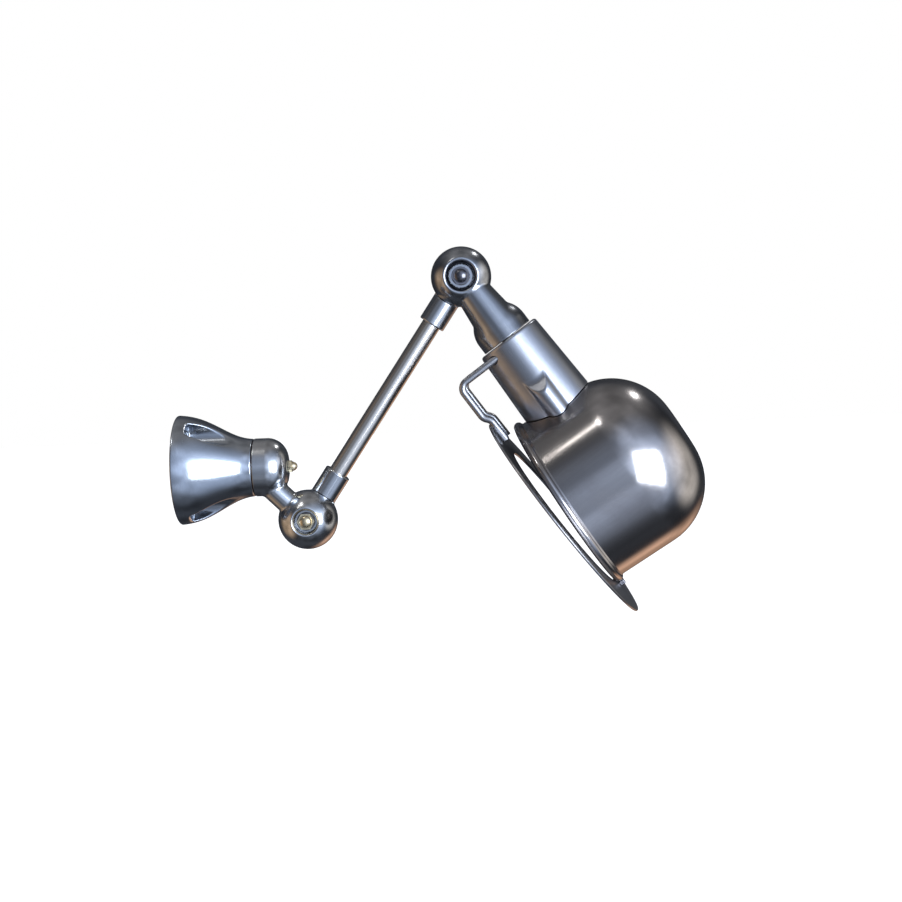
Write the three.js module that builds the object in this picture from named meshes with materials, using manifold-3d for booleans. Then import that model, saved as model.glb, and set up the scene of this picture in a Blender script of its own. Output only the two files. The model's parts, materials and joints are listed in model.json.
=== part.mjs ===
// Swing arm wall sconce: a bell-shaped wall base, a swivelling cap, an arm between
// two split-ball elbows, and a head with a lampholder housing, a deep bowl shade,
// a flat front ring and two bent wires that make its handle.
//
// Millimetres. The origin is the centre of the base on the wall plane, +X points
// away from the wall, +Z is up, and the ball halves part on the plane Y = 0.

import * as THREE from 'three';
import { mergeVertices } from 'three/addons/utils/BufferGeometryUtils.js';
import Module from 'manifold-3d';

const wasm = await Module();
wasm.setup();

// ---------------------------------------------------------------- driving sizes

const DEGREE = Math.PI / 180;
const GAP = 0.3;

const ARM_LENGTH = 200;
const ARM_ANGLE = 55.4 * DEGREE;
const HEAD_ANGLE = 54.7 * DEGREE;
const HEAD_SET_TURN = 2.8 * DEGREE;
const LOWER_BALL = new THREE.Vector3(88.1, 0, -37.7);
const UPPER_BALL = new THREE.Vector3(
  LOWER_BALL.x + ARM_LENGTH * Math.cos(ARM_ANGLE),
  0,
  LOWER_BALL.z + ARM_LENGTH * Math.sin(ARM_ANGLE),
);

const BASE_RADIUS = 38.4;
const NECK_RADIUS = 20.1;
const BASE_LENGTH = 52.4;
const BASE_WALL = 2.8;
const POCKET_RADIUS = 7.5;
const POCKET_OFFSET = 31;
const POCKET_FLOOR = 9;
const WALL_SCREW_OFFSET = 30;

const CAP_START = 52.8;
const CAP_END = 76;
const CAP_RADIUS = 20.3;
const CAP_CORNER = 14.3;
const CAP_WALL = 3.5;
const SWIVEL_BOLT_RADIUS = 2.5;

const BALL_RADIUS = 20.9;
const BALL_INSIDE = 17.5;
const BALL_BOSS_RADIUS = 9.3;
const BALL_BOSS_FACE = 1.2;
const BALL_CAVITY_DEPTH = 9.5;
const RECESS_FLOOR = 12;
const HALF_SPLIT = 0.15;
const LIMB_OFFSET = 4.5;
const PIVOT_RADIUS = 3;
const PIVOT_BORE = 3.3;

const STUB_RADIUS = 8.35;
const STUB_BORE = 4.8;
const STUB_ANGLE = 135 * DEGREE;

const SLEEVE_RADIUS = 9.35;
const SLEEVE_END = 38.8;
const SLEEVE_SOCKET_START = 22;
const TUBE_RADIUS = 6.6;
const TUBE_BORE = 5.3;
const LEAD_RADIUS = 2.6;

const HEAD_SEAM = 52.9;
const DOME_RADIUS = 19.2;
const DOME_CENTRE = 45.7;
const HOUSING_TOP = 53.3;
const HOUSING_TOP_RADIUS = 23.3;
const HOUSING_TAPER = 0.039;
const HOUSING_CAVITY = 21.2;
const HOUSING_LEDGE = 70;
const RIB_RADIUS = 7.5;
const RIB_OFFSET = 22.5;
const RIB_LEVEL = -1.5;

const BOWL_RADIUS = 62.7;
const BOWL_WALL = 1.3;
const BOWL_DEPTH = 90.4;
const BOWL_CORNER = 47.5;
const BOWL_TILT = 3.28 * DEGREE;
const BOWL_RIM = new THREE.Vector3(169.6, 0, -32.4);
const BEAD_WIDTH = 6;
const BEAD_REACH = 3;

const RING_OUTER = 82.6;
const RING_INNER = 56;
const RING_THICKNESS = 1.6;
const RING_TILT = 1.4 * DEGREE;
const RING_CENTRE = new THREE.Vector3(175.9, 0, -44.6);

const WIRE_RADIUS = 2.5;
const WIRE_SPACING = 16.5;

const ROUGH = 8;
const COARSE = 14;
const MEDIUM = 20;
const FINE = 32;

// -------------------------------------------------------------------- materials

const metal = (color, roughness) =>
  new THREE.MeshStandardMaterial({ color, roughness, metalness: 1 });
const plain = (color, roughness) =>
  new THREE.MeshStandardMaterial({ color, roughness, metalness: 0 });

const MATERIALS = {
  castSteel: metal(0x8d949c, 0.3),
  tubeSteel: metal(0xb4b2ae, 0.2),
  bowlSteel: metal(0x6e6d70, 0.18),
  screwSteel: metal(0x9a9c9f, 0.35),
  darkChrome: metal(0x3c3a40, 0.2),
  brass: metal(0xb8975a, 0.3),
  springSteel: metal(0x77797c, 0.4),
  fibre: plain(0x6b3f2a, 0.8),
  phenolic: plain(0x1d1c1b, 0.5),
  ceramic: plain(0xe8e4da, 0.4),
  rubber: plain(0x262626, 0.8),
  glass: new THREE.MeshStandardMaterial({
    color: 0xf6f4ee, roughness: 0.15, metalness: 0, transparent: true, opacity: 0.7,
  }),
};

// ------------------------------------------------------------- solids and joins

const AXIS_X = new THREE.Vector3(1, 0, 0);
const AXIS_Y = new THREE.Vector3(0, 1, 0);
const AXIS_Z = new THREE.Vector3(0, 0, 1);

// Six times the volume that a triangle spans with the origin.
function signedVolume(positions, [a, b, c]) {
  const corner = (index) => new THREE.Vector3().fromArray(positions, index * 3);
  return corner(a).dot(corner(b).cross(corner(c)));
}

// A closed three.js geometry as a solid, with its faces turned outwards.
function solid(geometry) {
  const source = geometry.clone();
  source.deleteAttribute('normal');
  source.deleteAttribute('uv');
  const merged = mergeVertices(source);
  const positions = merged.attributes.position.array;
  const index = merged.index.array;
  const triangles = [];
  let volume = 0;
  for (let i = 0; i < index.length; i += 3) {
    const [a, b, c] = index.subarray(i, i + 3);
    if (a === b || b === c || c === a) continue;
    triangles.push([a, b, c]);
    volume += signedVolume(positions, [a, b, c]);
  }
  const outward = volume < 0 ? triangles.map(([a, b, c]) => [a, c, b]) : triangles;
  return new wasm.Manifold(new wasm.Mesh({
    numProp: 3,
    vertProperties: Float32Array.from(positions),
    triVerts: Uint32Array.from(outward.flat()),
  }));
}

const join = (...solids) => solids.reduce((whole, next) => whole.add(next));
const cut = (body, ...tools) => tools.reduce((rest, tool) => rest.subtract(tool), body);

// Points of an arc in a profile of [height, radius], with 0 degrees along the height.
function arc(height, radius, size, from, to, steps) {
  return Array.from({ length: steps + 1 }, (_, i) => {
    const angle = (from + ((to - from) * i) / steps) * DEGREE;
    return [height + size * Math.cos(angle), radius + size * Math.sin(angle)];
  });
}

// A turned solid: a profile of [height, radius] revolved about a direction.
function turned(profile, { along = AXIS_X, at = [0, 0, 0], segments = COARSE } = {}) {
  const points = profile.map(([height, radius]) => new THREE.Vector2(Math.max(radius, 0), height));
  const geometry = new THREE.LatheGeometry(points, segments);
  geometry.applyQuaternion(new THREE.Quaternion().setFromUnitVectors(AXIS_Y, along));
  return solid(geometry.translate(...at));
}

// A profile closed on itself: the first point is repeated at the end.
const loop = (profile) => [...profile, profile[0]];

const rod = (from, to, radius, options) =>
  turned([[from, 0], [from, radius], [to, radius], [to, 0]], options);
const tube = (from, to, outer, inner, options) =>
  turned(loop([[from, inner], [from, outer], [to, outer], [to, inner]]), options);
const hexagon = (from, to, radius, options) => rod(from, to, radius, { ...options, segments: 6 });

function box([x0, x1], [y0, y1], [z0, z1]) {
  const geometry = new THREE.BoxGeometry(x1 - x0, y1 - y0, z1 - z0);
  return solid(geometry.translate((x0 + x1) / 2, (y0 + y1) / 2, (z0 + z1) / 2));
}

// A screw: a domed head with a slot, and a plain shank of its outer thread size.
function panScrew({ seat, headHeight, headRadius, tip, radius, along = AXIS_X, at }) {
  const away = Math.sign(seat - tip);
  const top = seat + away * headHeight;
  const shape = turned([
    [tip, 0],
    [tip, radius * 0.6],
    [tip + away * radius, radius],
    [seat, radius],
    [seat, headRadius],
    [seat + away * headHeight * 0.45, headRadius],
    [top, headRadius * 0.6],
    [top, 0],
  ], { along, at, segments: ROUGH });
  const slotDepth = headHeight * 0.45;
  const slot = new THREE.BoxGeometry(headRadius * 3, slotDepth * 2, headRadius * 0.32);
  slot.translate(0, top, 0);
  slot.applyQuaternion(new THREE.Quaternion().setFromUnitVectors(AXIS_Y, along));
  return cut(shape, solid(slot.translate(...at)));
}

// A closed-end nut: a hexagon with a flange, a dome and a blind bore.
function acornNut({ seat, away, across, hexHeight, height, bore, boreDepth, along, at }) {
  const corner = across / Math.sqrt(3);
  const domeRadius = across / 2 - 0.4;
  const hexTop = seat + away * hexHeight;
  const tip = seat + away * height;
  const dome = turned([
    [hexTop - away, 0],
    [hexTop - away, domeRadius],
    [hexTop + away * 0.5, domeRadius],
    ...[20, 40, 60, 78].map((degrees) => [
      hexTop + away * (0.5 + (height - hexHeight - 0.5) * Math.sin(degrees * DEGREE)),
      domeRadius * Math.cos(degrees * DEGREE),
    ]),
    [tip, 0],
  ], { along, at });
  const blind = rod(seat - away, seat + away * boreDepth, bore, { along, at, segments: ROUGH });
  return cut(join(hexagon(seat, hexTop, corner, { along, at }), dome), blind);
}

function mesh(parent, name, shape, material) {
  const { vertProperties, triVerts } = shape.getMesh();
  const geometry = new THREE.BufferGeometry();
  geometry.setAttribute('position', new THREE.BufferAttribute(vertProperties, 3));
  geometry.setIndex(new THREE.BufferAttribute(triVerts, 1));
  geometry.computeVertexNormals();
  const node = new THREE.Mesh(geometry, material);
  node.name = name;
  parent.add(node);
}

// ------------------------------------------------------------------- wall base

// The bell's outer line: a long convex arc that runs into a hollow fillet.
function bellProfile(inset, end) {
  const shoulderRadius = 52;
  const crown = arc(-2.4, BASE_RADIUS - shoulderRadius, shoulderRadius - inset, 88, 46, 6);
  const fillet = [[38.4, 23.1], [41.4, 21.3], [44.6, 20.3], [48, NECK_RADIUS]];
  const line = [...crown, ...fillet.map(([x, radius]) => [x, radius - inset])];
  return line.map(([x, radius]) => [Math.max(x, 0), radius])
    .concat([[end, NECK_RADIUS - inset]]);
}

const POCKETS = [5, 125, 245].map((degrees) => [
  Math.cos(degrees * DEGREE), Math.sin(degrees * DEGREE),
]);

function wallBase(parent) {
  const webStart = BASE_LENGTH - 4;
  const outer = turned([[0, 0], ...bellProfile(0, BASE_LENGTH), [BASE_LENGTH, 0]],
    { segments: FINE });
  const inside = turned([[-1, 0], [-1, BASE_RADIUS - BASE_WALL],
    ...bellProfile(BASE_WALL, webStart), [webStart, 0]], { segments: FINE });

  const at = (offset, [y, z]) => [0, offset * y, offset * z];
  const pocketOptions = (pocket) => ({ at: at(POCKET_OFFSET, pocket), segments: COARSE });
  const pockets = POCKETS.map((pocket) =>
    rod(POCKET_FLOOR, 60, POCKET_RADIUS, pocketOptions(pocket)));
  const linings = POCKETS.map((pocket) =>
    rod(POCKET_FLOOR - BASE_WALL, 60, POCKET_RADIUS + BASE_WALL, pocketOptions(pocket)));
  const bosses = POCKETS.map((pocket) =>
    rod(-2, POCKET_FLOOR, 6.2, { at: at(WALL_SCREW_OFFSET, pocket), segments: ROUGH }));
  const screwHoles = POCKETS.map((pocket) =>
    rod(-2, 12, 2.4, { at: at(WALL_SCREW_OFFSET, pocket), segments: ROUGH }));

  const strapOffset = 28;
  const strapFace = 5.3;
  const sides = [-1, 1];
  const posts = sides.map((side) =>
    rod(strapFace, 23.5, 3.4, { at: [0, 0, side * strapOffset], segments: ROUGH }));
  const postHoles = sides.map((side) =>
    rod(strapFace - 1, 16, 1.7, { at: [0, 0, side * strapOffset], segments: ROUGH }));

  const cavity = cut(inside, ...linings, ...bosses, ...posts);
  const boltBore = rod(webStart - 1, BASE_LENGTH + 1, SWIVEL_BOLT_RADIUS + 0.4, { segments: ROUGH });
  const leadHole = rod(webStart - 1, BASE_LENGTH + 1, 3.2, { at: [0, 0, -10.5], segments: ROUGH });
  const bell = cut(outer, cavity, ...pockets, ...screwHoles, ...postHoles, boltBore, leadHole);
  mesh(parent, 'bell_base', bell, MATERIALS.castSteel);

  terminalStrap(parent, { strapOffset, strapFace });
  swivelBolt(parent, webStart);
}

function terminalStrap(parent, { strapOffset, strapFace }) {
  const top = strapFace - GAP;
  const thickness = 1.5;
  const end = strapOffset + 3.5;
  const blockSize = 12;
  const ends = [-1, 1];
  const holes = ends.map((side) => rod(0, 8, 1.7, { at: [0, 0, side * strapOffset], segments: ROUGH }));
  const blockHole = rod(0, 8, 1.7, { segments: ROUGH });
  const strap = cut(box([top - thickness, top], [-5.5, 5.5], [-end, end]), ...holes, blockHole);
  mesh(parent, 'terminal_strap', strap, MATERIALS.screwSteel);
  ends.forEach((side, i) => {
    const screw = panScrew({
      seat: top - thickness - GAP, headHeight: 1.6, headRadius: 2.8,
      tip: 14, radius: 1.4, at: [0, 0, side * strapOffset],
    });
    mesh(parent, `strap_screw_${i + 1}`, screw, MATERIALS.screwSteel);
  });

  const blockBack = top + GAP;
  const blockFront = blockBack + blockSize;
  const wireWays = [-7, 7].map((y) => rod(-12, 12, 1.6, { along: AXIS_Z,
    at: [blockBack + 5, y, 0], segments: ROUGH }));
  const clampWays = [-7, 7].map((y) => rod(blockBack + 5, blockFront + 1, 1.5,
    { at: [0, y, 0], segments: ROUGH }));
  const screwWay = rod(0, blockFront + 1, 1.7, { segments: ROUGH });
  const block = cut(box([blockBack, blockFront], [-11, 11], [-7, 7]),
    ...wireWays, ...clampWays, screwWay);
  mesh(parent, 'terminal_block', block, MATERIALS.ceramic);
  const blockScrew = panScrew({
    seat: blockFront + GAP, headHeight: 1.6, headRadius: 2.8,
    tip: 2, radius: 1.4, at: [0, 0, 0],
  });
  mesh(parent, 'terminal_block_screw', blockScrew, MATERIALS.screwSteel);
}

function swivelBolt(parent, webStart) {
  const washerEnd = webStart - GAP;
  const washerStart = washerEnd - 1.2;
  const headEnd = washerStart - GAP;
  const bolt = join(
    hexagon(headEnd - 3.6, headEnd, 4.7),
    rod(headEnd - 1, CAP_END + 3.4, SWIVEL_BOLT_RADIUS, { segments: ROUGH }),
  );
  mesh(parent, 'swivel_bolt', bolt, MATERIALS.screwSteel);
  mesh(parent, 'swivel_spring_washer',
    tube(washerStart, washerEnd, 6.5, SWIVEL_BOLT_RADIUS + 0.4), MATERIALS.springSteel);
  const nut = acornNut({
    seat: CAP_END + GAP, away: 1, across: 8, hexHeight: 2.2, height: 6,
    bore: SWIVEL_BOLT_RADIUS + 0.3, boreDepth: 3.5, along: AXIS_X, at: [0, 0, 0],
  });
  mesh(parent, 'swivel_acorn_nut', nut, MATERIALS.brass);
  mesh(parent, 'swivel_friction_washer',
    tube(BASE_LENGTH + GAP, BASE_LENGTH + GAP + 1, 18.8, 13.5, { segments: MEDIUM }),
    MATERIALS.fibre);
}

// ---------------------------------------------------------- split-ball elbows

// Points of a half ball's outline from the split plane to its pole.
function halfBallLine(side, radius, start) {
  const first = Math.acos(start / radius) / DEGREE;
  return arc(0, 0, radius, first, 0, 7).map(([height, size]) => [side * height, size]);
}

// Half of a ball, on the side of the split plane that `side` names (-1 is -Y).
function halfBall(side, at) {
  const line = halfBallLine(side, BALL_RADIUS, HALF_SPLIT);
  return turned([[side * HALF_SPLIT, 0], ...line], { along: AXIS_Y, at, segments: MEDIUM });
}

// What is cut from a half ball: the ring-shaped wire space, the pivot bore, the nut
// recess with its bevelled mouth, and the room that the other half ball turns in.
function halfBallTools(side, { at, recess, mouth }) {
  const options = { along: AXIS_Y, at, segments: COARSE };
  const innerLine = arc(0, 0, BALL_INSIDE,
    Math.acos(BALL_CAVITY_DEPTH / BALL_INSIDE) / DEGREE, 92, 3)
    .map(([height, size]) => [side * height, size]);
  const wireSpace = turned(loop([
    [-side, BALL_BOSS_RADIUS], [side * BALL_CAVITY_DEPTH, BALL_BOSS_RADIUS],
    ...innerLine, [-side, BALL_INSIDE],
  ]), { ...options, segments: MEDIUM });

  const mouthHeight = Math.sqrt(BALL_RADIUS ** 2 - mouth ** 2);
  const outside = BALL_RADIUS + 1;
  const recessAndBore = turned([
    [-1, 0],
    [-1, BALL_BOSS_RADIUS + 0.2],
    [BALL_BOSS_FACE, BALL_BOSS_RADIUS + 0.2],
    [BALL_BOSS_FACE, PIVOT_BORE],
    [RECESS_FLOOR, PIVOT_BORE],
    [RECESS_FLOOR, recess],
    [mouthHeight - (mouth - recess), recess],
    [outside, mouth + outside - mouthHeight],
    [outside, 0],
  ].map(([height, radius]) => [side * height, radius]), options);

  const clear = BALL_RADIUS + GAP;
  const otherHalf = turned([
    [side * HALF_SPLIT, 0],
    [side * HALF_SPLIT, clear],
    ...halfBallLine(-side, clear, HALF_SPLIT),
  ], { along: AXIS_Y, at, segments: FINE });
  return [wireSpace, recessAndBore, otherHalf];
}

// The bolt, spring washer, nut and friction disc that hold two half balls together.
function pivotSet(parent, prefix, { at, nutName, nutMaterial, nutAcross }) {
  const options = { along: AXIS_Y, at };
  const washerStart = RECESS_FLOOR + GAP;
  const nutSeat = washerStart + 1.2 + GAP;
  const headSeat = RECESS_FLOOR + GAP;
  const bolt = join(
    turned([
      [headSeat, 0], [headSeat, 5.6], [headSeat + 2.2, 5.6], [headSeat + 3.4, 4.2],
      [headSeat + 3.4, 0],
    ], options),
    rod(-(nutSeat + 3.4), headSeat + 1, PIVOT_RADIUS, { ...options, segments: ROUGH }),
  );
  const slot = box([at[0] - 7, at[0] + 7], [headSeat + 2.2, headSeat + 6], [at[2] - 0.7, at[2] + 0.7]);
  mesh(parent, `${prefix}_pivot_bolt`, cut(bolt, slot), MATERIALS.screwSteel);
  mesh(parent, `${prefix}_spring_washer`,
    tube(-(washerStart + 1.2), -washerStart, 6.4, PIVOT_BORE, options), MATERIALS.springSteel);
  const nut = acornNut({
    seat: -nutSeat, away: -1, across: nutAcross, hexHeight: 2.6, height: 5.6,
    bore: PIVOT_BORE, boreDepth: 3.7, along: AXIS_Y, at,
  });
  mesh(parent, nutName, nut, nutMaterial);
  const discHalf = BALL_BOSS_FACE - GAP;
  mesh(parent, `${prefix}_friction_disc`,
    tube(-discHalf, discHalf, BALL_BOSS_RADIUS - 0.3, PIVOT_BORE, options), MATERIALS.fibre);
}

// ------------------------------------------------------------------- the swivel

function swivel(parent) {
  const corner = CAP_CORNER;
  const cap = turned([
    [CAP_START, 0], [CAP_START, CAP_RADIUS - 0.4], [CAP_START + 0.4, CAP_RADIUS],
    ...arc(CAP_END - corner, CAP_RADIUS - corner, corner, 90, 0, 6),
    [CAP_END, 0],
  ], { segments: MEDIUM });
  const washerFloor = BASE_LENGTH + GAP + 1 + GAP;
  const inside = turned([
    [CAP_START - 1, 0], [CAP_START - 1, 19.2], [washerFloor, 19.2],
    [washerFloor, CAP_RADIUS - CAP_WALL],
    ...arc(CAP_END - corner, CAP_RADIUS - corner, corner - CAP_WALL, 90, 0, 4),
    [CAP_END - CAP_WALL, 0],
  ], { segments: MEDIUM });
  const boltBore = rod(CAP_END - CAP_WALL - 1, CAP_END + 1, SWIVEL_BOLT_RADIUS + 0.4,
    { segments: ROUGH });

  const ball = LOWER_BALL.toArray();
  const along = new THREE.Vector3(Math.cos(STUB_ANGLE), 0, Math.sin(STUB_ANGLE));
  const limb = { along, at: [ball[0], -LIMB_OFFSET, ball[2]] };
  const stub = rod(8, 41, STUB_RADIUS, limb);
  const stubBore = rod(15, 40, STUB_BORE, { ...limb, segments: ROUGH });
  const tools = halfBallTools(-1, { at: ball, recess: 8, mouth: 9.6 });
  const casting = cut(join(cap, stub, halfBall(-1, ball)), inside, boltBore, stubBore, ...tools);
  mesh(parent, 'swivel_elbow', casting, MATERIALS.castSteel);

  pivotSet(parent, 'lower', {
    at: ball, nutName: 'lower_acorn_nut', nutMaterial: MATERIALS.brass, nutAcross: 10.6,
  });
}

// ---------------------------------------------------------------------- the arm

// An arm end in the arm's frame: the rear half ball at the origin and the sleeve
// that holds the tube, pointing along +X.
function armEnd() {
  const ball = [0, 0, 0];
  const limb = { at: [0, LIMB_OFFSET, 0] };
  const sleeve = turned([
    [8, 0], [8, SLEEVE_RADIUS], [SLEEVE_END - 0.6, SLEEVE_RADIUS],
    [SLEEVE_END, SLEEVE_RADIUS - 0.6], [SLEEVE_END, 0],
  ], limb);
  const leadWay = rod(15, SLEEVE_END, 4.5, { ...limb, segments: ROUGH });
  const socket = rod(SLEEVE_SOCKET_START, SLEEVE_END + 1, TUBE_RADIUS + GAP, limb);
  const grubHole = rod(LIMB_OFFSET, LIMB_OFFSET + SLEEVE_RADIUS + 1, 2,
    { along: AXIS_Y, at: [31, 0, 0], segments: ROUGH });
  const tools = halfBallTools(1, { at: ball, recess: 8, mouth: 9.6 });
  return cut(join(halfBall(1, ball), sleeve), leadWay, socket, grubHole, ...tools);
}

function arm(parent) {
  const ends = [
    { name: 'lower', place: (shape) => shape },
    { name: 'upper', place: (shape) => shape.mirror([1, 0, 0]).translate([ARM_LENGTH, 0, 0]) },
  ];
  const grub = cut(
    rod(LIMB_OFFSET + TUBE_RADIUS + GAP, LIMB_OFFSET + SLEEVE_RADIUS - 0.2, 1.7,
      { along: AXIS_Y, at: [31, 0, 0], segments: ROUGH }),
    hexagon(LIMB_OFFSET + SLEEVE_RADIUS - 1.4, LIMB_OFFSET + SLEEVE_RADIUS + 1, 0.9,
      { along: AXIS_Y, at: [31, 0, 0] }),
  );
  ends.forEach(({ name, place }) => {
    mesh(parent, `${name}_arm_knuckle`, place(armEnd()), MATERIALS.castSteel);
    mesh(parent, `${name}_grub_screw`, place(grub), MATERIALS.screwSteel);
  });
  const inset = SLEEVE_SOCKET_START + GAP;
  const limb = { at: [0, LIMB_OFFSET, 0], segments: MEDIUM };
  mesh(parent, 'arm_tube',
    tube(inset, ARM_LENGTH - inset, TUBE_RADIUS, TUBE_BORE, limb), MATERIALS.tubeSteel);
  mesh(parent, 'arm_lead',
    rod(20, ARM_LENGTH - 20, LEAD_RADIUS, { ...limb, segments: ROUGH }), MATERIALS.rubber);
}

// ---------------------------------------------------------------- the head neck
// In the neck's frame +X runs from the upper ball down the middle of the housing.
// The head's frame is the same, turned a little about that line on its swivel.

function neck(parent) {
  const origin = [0, 0, 0];
  const limb = { at: [0, -LIMB_OFFSET, 0], segments: MEDIUM };
  const cone = turned([[8, 0], [8, 11.6], [HEAD_SEAM, 16.7], [HEAD_SEAM, 0]], limb);
  const dome = turned([
    ...arc(DOME_CENTRE, 0, DOME_RADIUS, 180, 90, 7),
    [HEAD_SEAM, DOME_RADIUS], [HEAD_SEAM, 0],
  ], { segments: MEDIUM });
  const webStart = 48.6;
  const inside = turned([
    ...arc(DOME_CENTRE + 1, 0, DOME_RADIUS - 3.5, 180, 90, 4),
    [webStart, DOME_RADIUS - 3.5], [webStart, 0],
  ]);
  const wireWay = rod(15, DOME_CENTRE, 8.4, { ...limb, segments: COARSE });
  const nippleBore = rod(webStart - 1, HEAD_SEAM + 1, 5 + GAP);
  const washerRecess = rod(HEAD_SEAM - 1, HEAD_SEAM + 1, 15);
  const tools = halfBallTools(-1, { at: origin, recess: 8.2, mouth: 11.4 });
  const casting = cut(join(cone, dome, halfBall(-1, origin)),
    inside, wireWay, nippleBore, washerRecess, ...tools);
  mesh(parent, 'head_knuckle', casting, MATERIALS.castSteel);

  pivotSet(parent, 'upper', {
    at: origin, nutName: 'upper_dome_nut', nutMaterial: MATERIALS.darkChrome, nutAcross: 11.4,
  });

  const plateUnderside = 57;
  const washerStart = plateUnderside + GAP;
  const nutStart = washerStart + 1.2 + GAP;
  mesh(parent, 'head_nipple', tube(45, nutStart + 5, 5, 3.6), MATERIALS.brass);
  mesh(parent, 'head_friction_washer',
    tube(HEAD_SEAM - 1 + GAP, HEAD_SEAM + 0.1, 14.6, 5 + GAP), MATERIALS.fibre);
  mesh(parent, 'nipple_spring_washer',
    tube(washerStart, washerStart + 1.2, 9.5, 5 + GAP), MATERIALS.springSteel);
  const nut = cut(hexagon(nutStart, nutStart + 3.6, 9),
    rod(nutStart - 1, nutStart + 5, 5 + GAP));
  mesh(parent, 'nipple_nut', nut, MATERIALS.brass);
}

// --------------------------------------------------------------------- the head

const BOWL_AXIS = new THREE.Vector3(Math.sin(BOWL_TILT), 0, Math.cos(BOWL_TILT));
const RING_AXIS = new THREE.Vector3(-Math.sin(RING_TILT), 0, Math.cos(RING_TILT));
const PAIR = [{ side: -1, name: 'left' }, { side: 1, name: 'right' }];
const BOWL_SCREW_OFFSET = 25.5;

// The bowl's outline from the bead up to the crown: height above the rim, radius.
function bowlLine(offset, steps) {
  const radius = BOWL_RADIUS + offset;
  return arc(BOWL_DEPTH - BOWL_CORNER, BOWL_RADIUS - BOWL_CORNER,
    BOWL_CORNER + offset, 90, 0, steps).concat([[BOWL_DEPTH + offset, 0]])
    .map(([height, size]) => [height, Math.min(size, radius)]);
}

// The bead's outline, from the wall round its outside to the open edge.
function beadLine(grow) {
  const middle = -BEAD_WIDTH / 2;
  return [78, 50, 20, -10, -40, -70, -90].map((degrees) => [
    middle + (BEAD_WIDTH / 2 + grow) * Math.sin(degrees * DEGREE),
    BOWL_RADIUS + (BEAD_REACH + grow) * Math.cos(degrees * DEGREE),
  ]);
}

const bowlOptions = { along: BOWL_AXIS, at: BOWL_RIM.toArray(), segments: FINE };

function bowlBlank(grow) {
  const line = [...bowlLine(grow, 7)].reverse().concat([[0.2, BOWL_RADIUS + grow]]);
  const bead = beadLine(grow);
  return turned([...line, ...bead, [bead.at(-1)[0], 0]], bowlOptions);
}

function bowl(parent) {
  const inside = turned([
    [-BEAD_WIDTH - 1, 0], [-BEAD_WIDTH - 1, BOWL_RADIUS - BOWL_WALL],
    ...bowlLine(-BOWL_WALL, 6),
  ], bowlOptions);
  const holderHole = rod(95, 125, 16.5);
  const screwHoles = PAIR.map(({ side }) =>
    rod(95, 125, 2.3, { at: [0, side * BOWL_SCREW_OFFSET, RIB_LEVEL], segments: ROUGH }));
  mesh(parent, 'bowl_shade', cut(bowlBlank(0), inside, holderHole, ...screwHoles),
    MATERIALS.bowlSteel);
  PAIR.forEach(({ side, name }) => {
    const screw = panScrew({
      seat: 118, headHeight: 2, headRadius: 3.4, tip: 99, radius: 2,
      at: [0, side * BOWL_SCREW_OFFSET, RIB_LEVEL],
    });
    mesh(parent, `bowl_screw_${name}`, screw, MATERIALS.screwSteel);
  });
}

// A rib on the housing's side that takes a bowl screw, with a sloping top.
function housingRib(side, end) {
  const slope = 1.45;
  const nearWall = 20;
  const outside = 32;
  const topAtWall = 81.5;
  const profile = new THREE.Shape([
    [topAtWall, nearWall],
    [topAtWall + slope * (outside - nearWall), outside],
    [end, outside],
    [end, nearWall],
  ].map(([x, y]) => new THREE.Vector2(x, side * y)));
  const height = RIB_RADIUS * 4;
  const wedge = new THREE.ExtrudeGeometry(profile, { depth: height, bevelEnabled: false });
  wedge.translate(0, 0, -height / 2);
  const bar = rod(topAtWall, end, RIB_RADIUS, { at: [0, side * RIB_OFFSET, RIB_LEVEL] });
  return bar.intersect(solid(wedge));
}

function housing(parent) {
  const end = 128;
  const radiusAt = (x) => HOUSING_TOP_RADIUS + HOUSING_TAPER * (x - HOUSING_TOP);
  const edge = 1.6;
  const outer = turned([
    [HOUSING_TOP, 0],
    ...arc(HOUSING_TOP + edge, HOUSING_TOP_RADIUS - edge, edge, 180, 90, 3),
    [end, radiusAt(end)], [end, 0],
  ], { segments: FINE });
  const inside = turned([
    [57, 0], [57, 15.5], [HOUSING_LEDGE, 15.5], [HOUSING_LEDGE, HOUSING_CAVITY],
    [end + 1, radiusAt(end + 1) - 2.6], [end + 1, 0],
  ], { segments: FINE });
  const nippleBore = rod(HOUSING_TOP - 1, 58, 5 + GAP);
  const wireHoles = PAIR.map(({ side }) => rod(-30, -9.5, WIRE_RADIUS + GAP,
    { along: AXIS_Z, at: [59.5, side * WIRE_SPACING, 0], segments: ROUGH }));
  const plateHoles = [-1, 1].map((side) =>
    rod(62, HOUSING_LEDGE + 1, 1.7, { at: [0, 0, side * 18.4], segments: ROUGH }));
  const screwHoles = PAIR.map(({ side }) =>
    rod(98, 130, 2.3, { at: [0, side * BOWL_SCREW_OFFSET, RIB_LEVEL], segments: ROUGH }));
  const ribs = PAIR.map(({ side }) => housingRib(side, end));
  const shell = cut(join(outer, ...ribs), inside, nippleBore, bowlBlank(0.4),
    ...wireHoles, ...plateHoles, ...screwHoles);
  mesh(parent, 'lamp_housing', shell, MATERIALS.castSteel);
}

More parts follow.
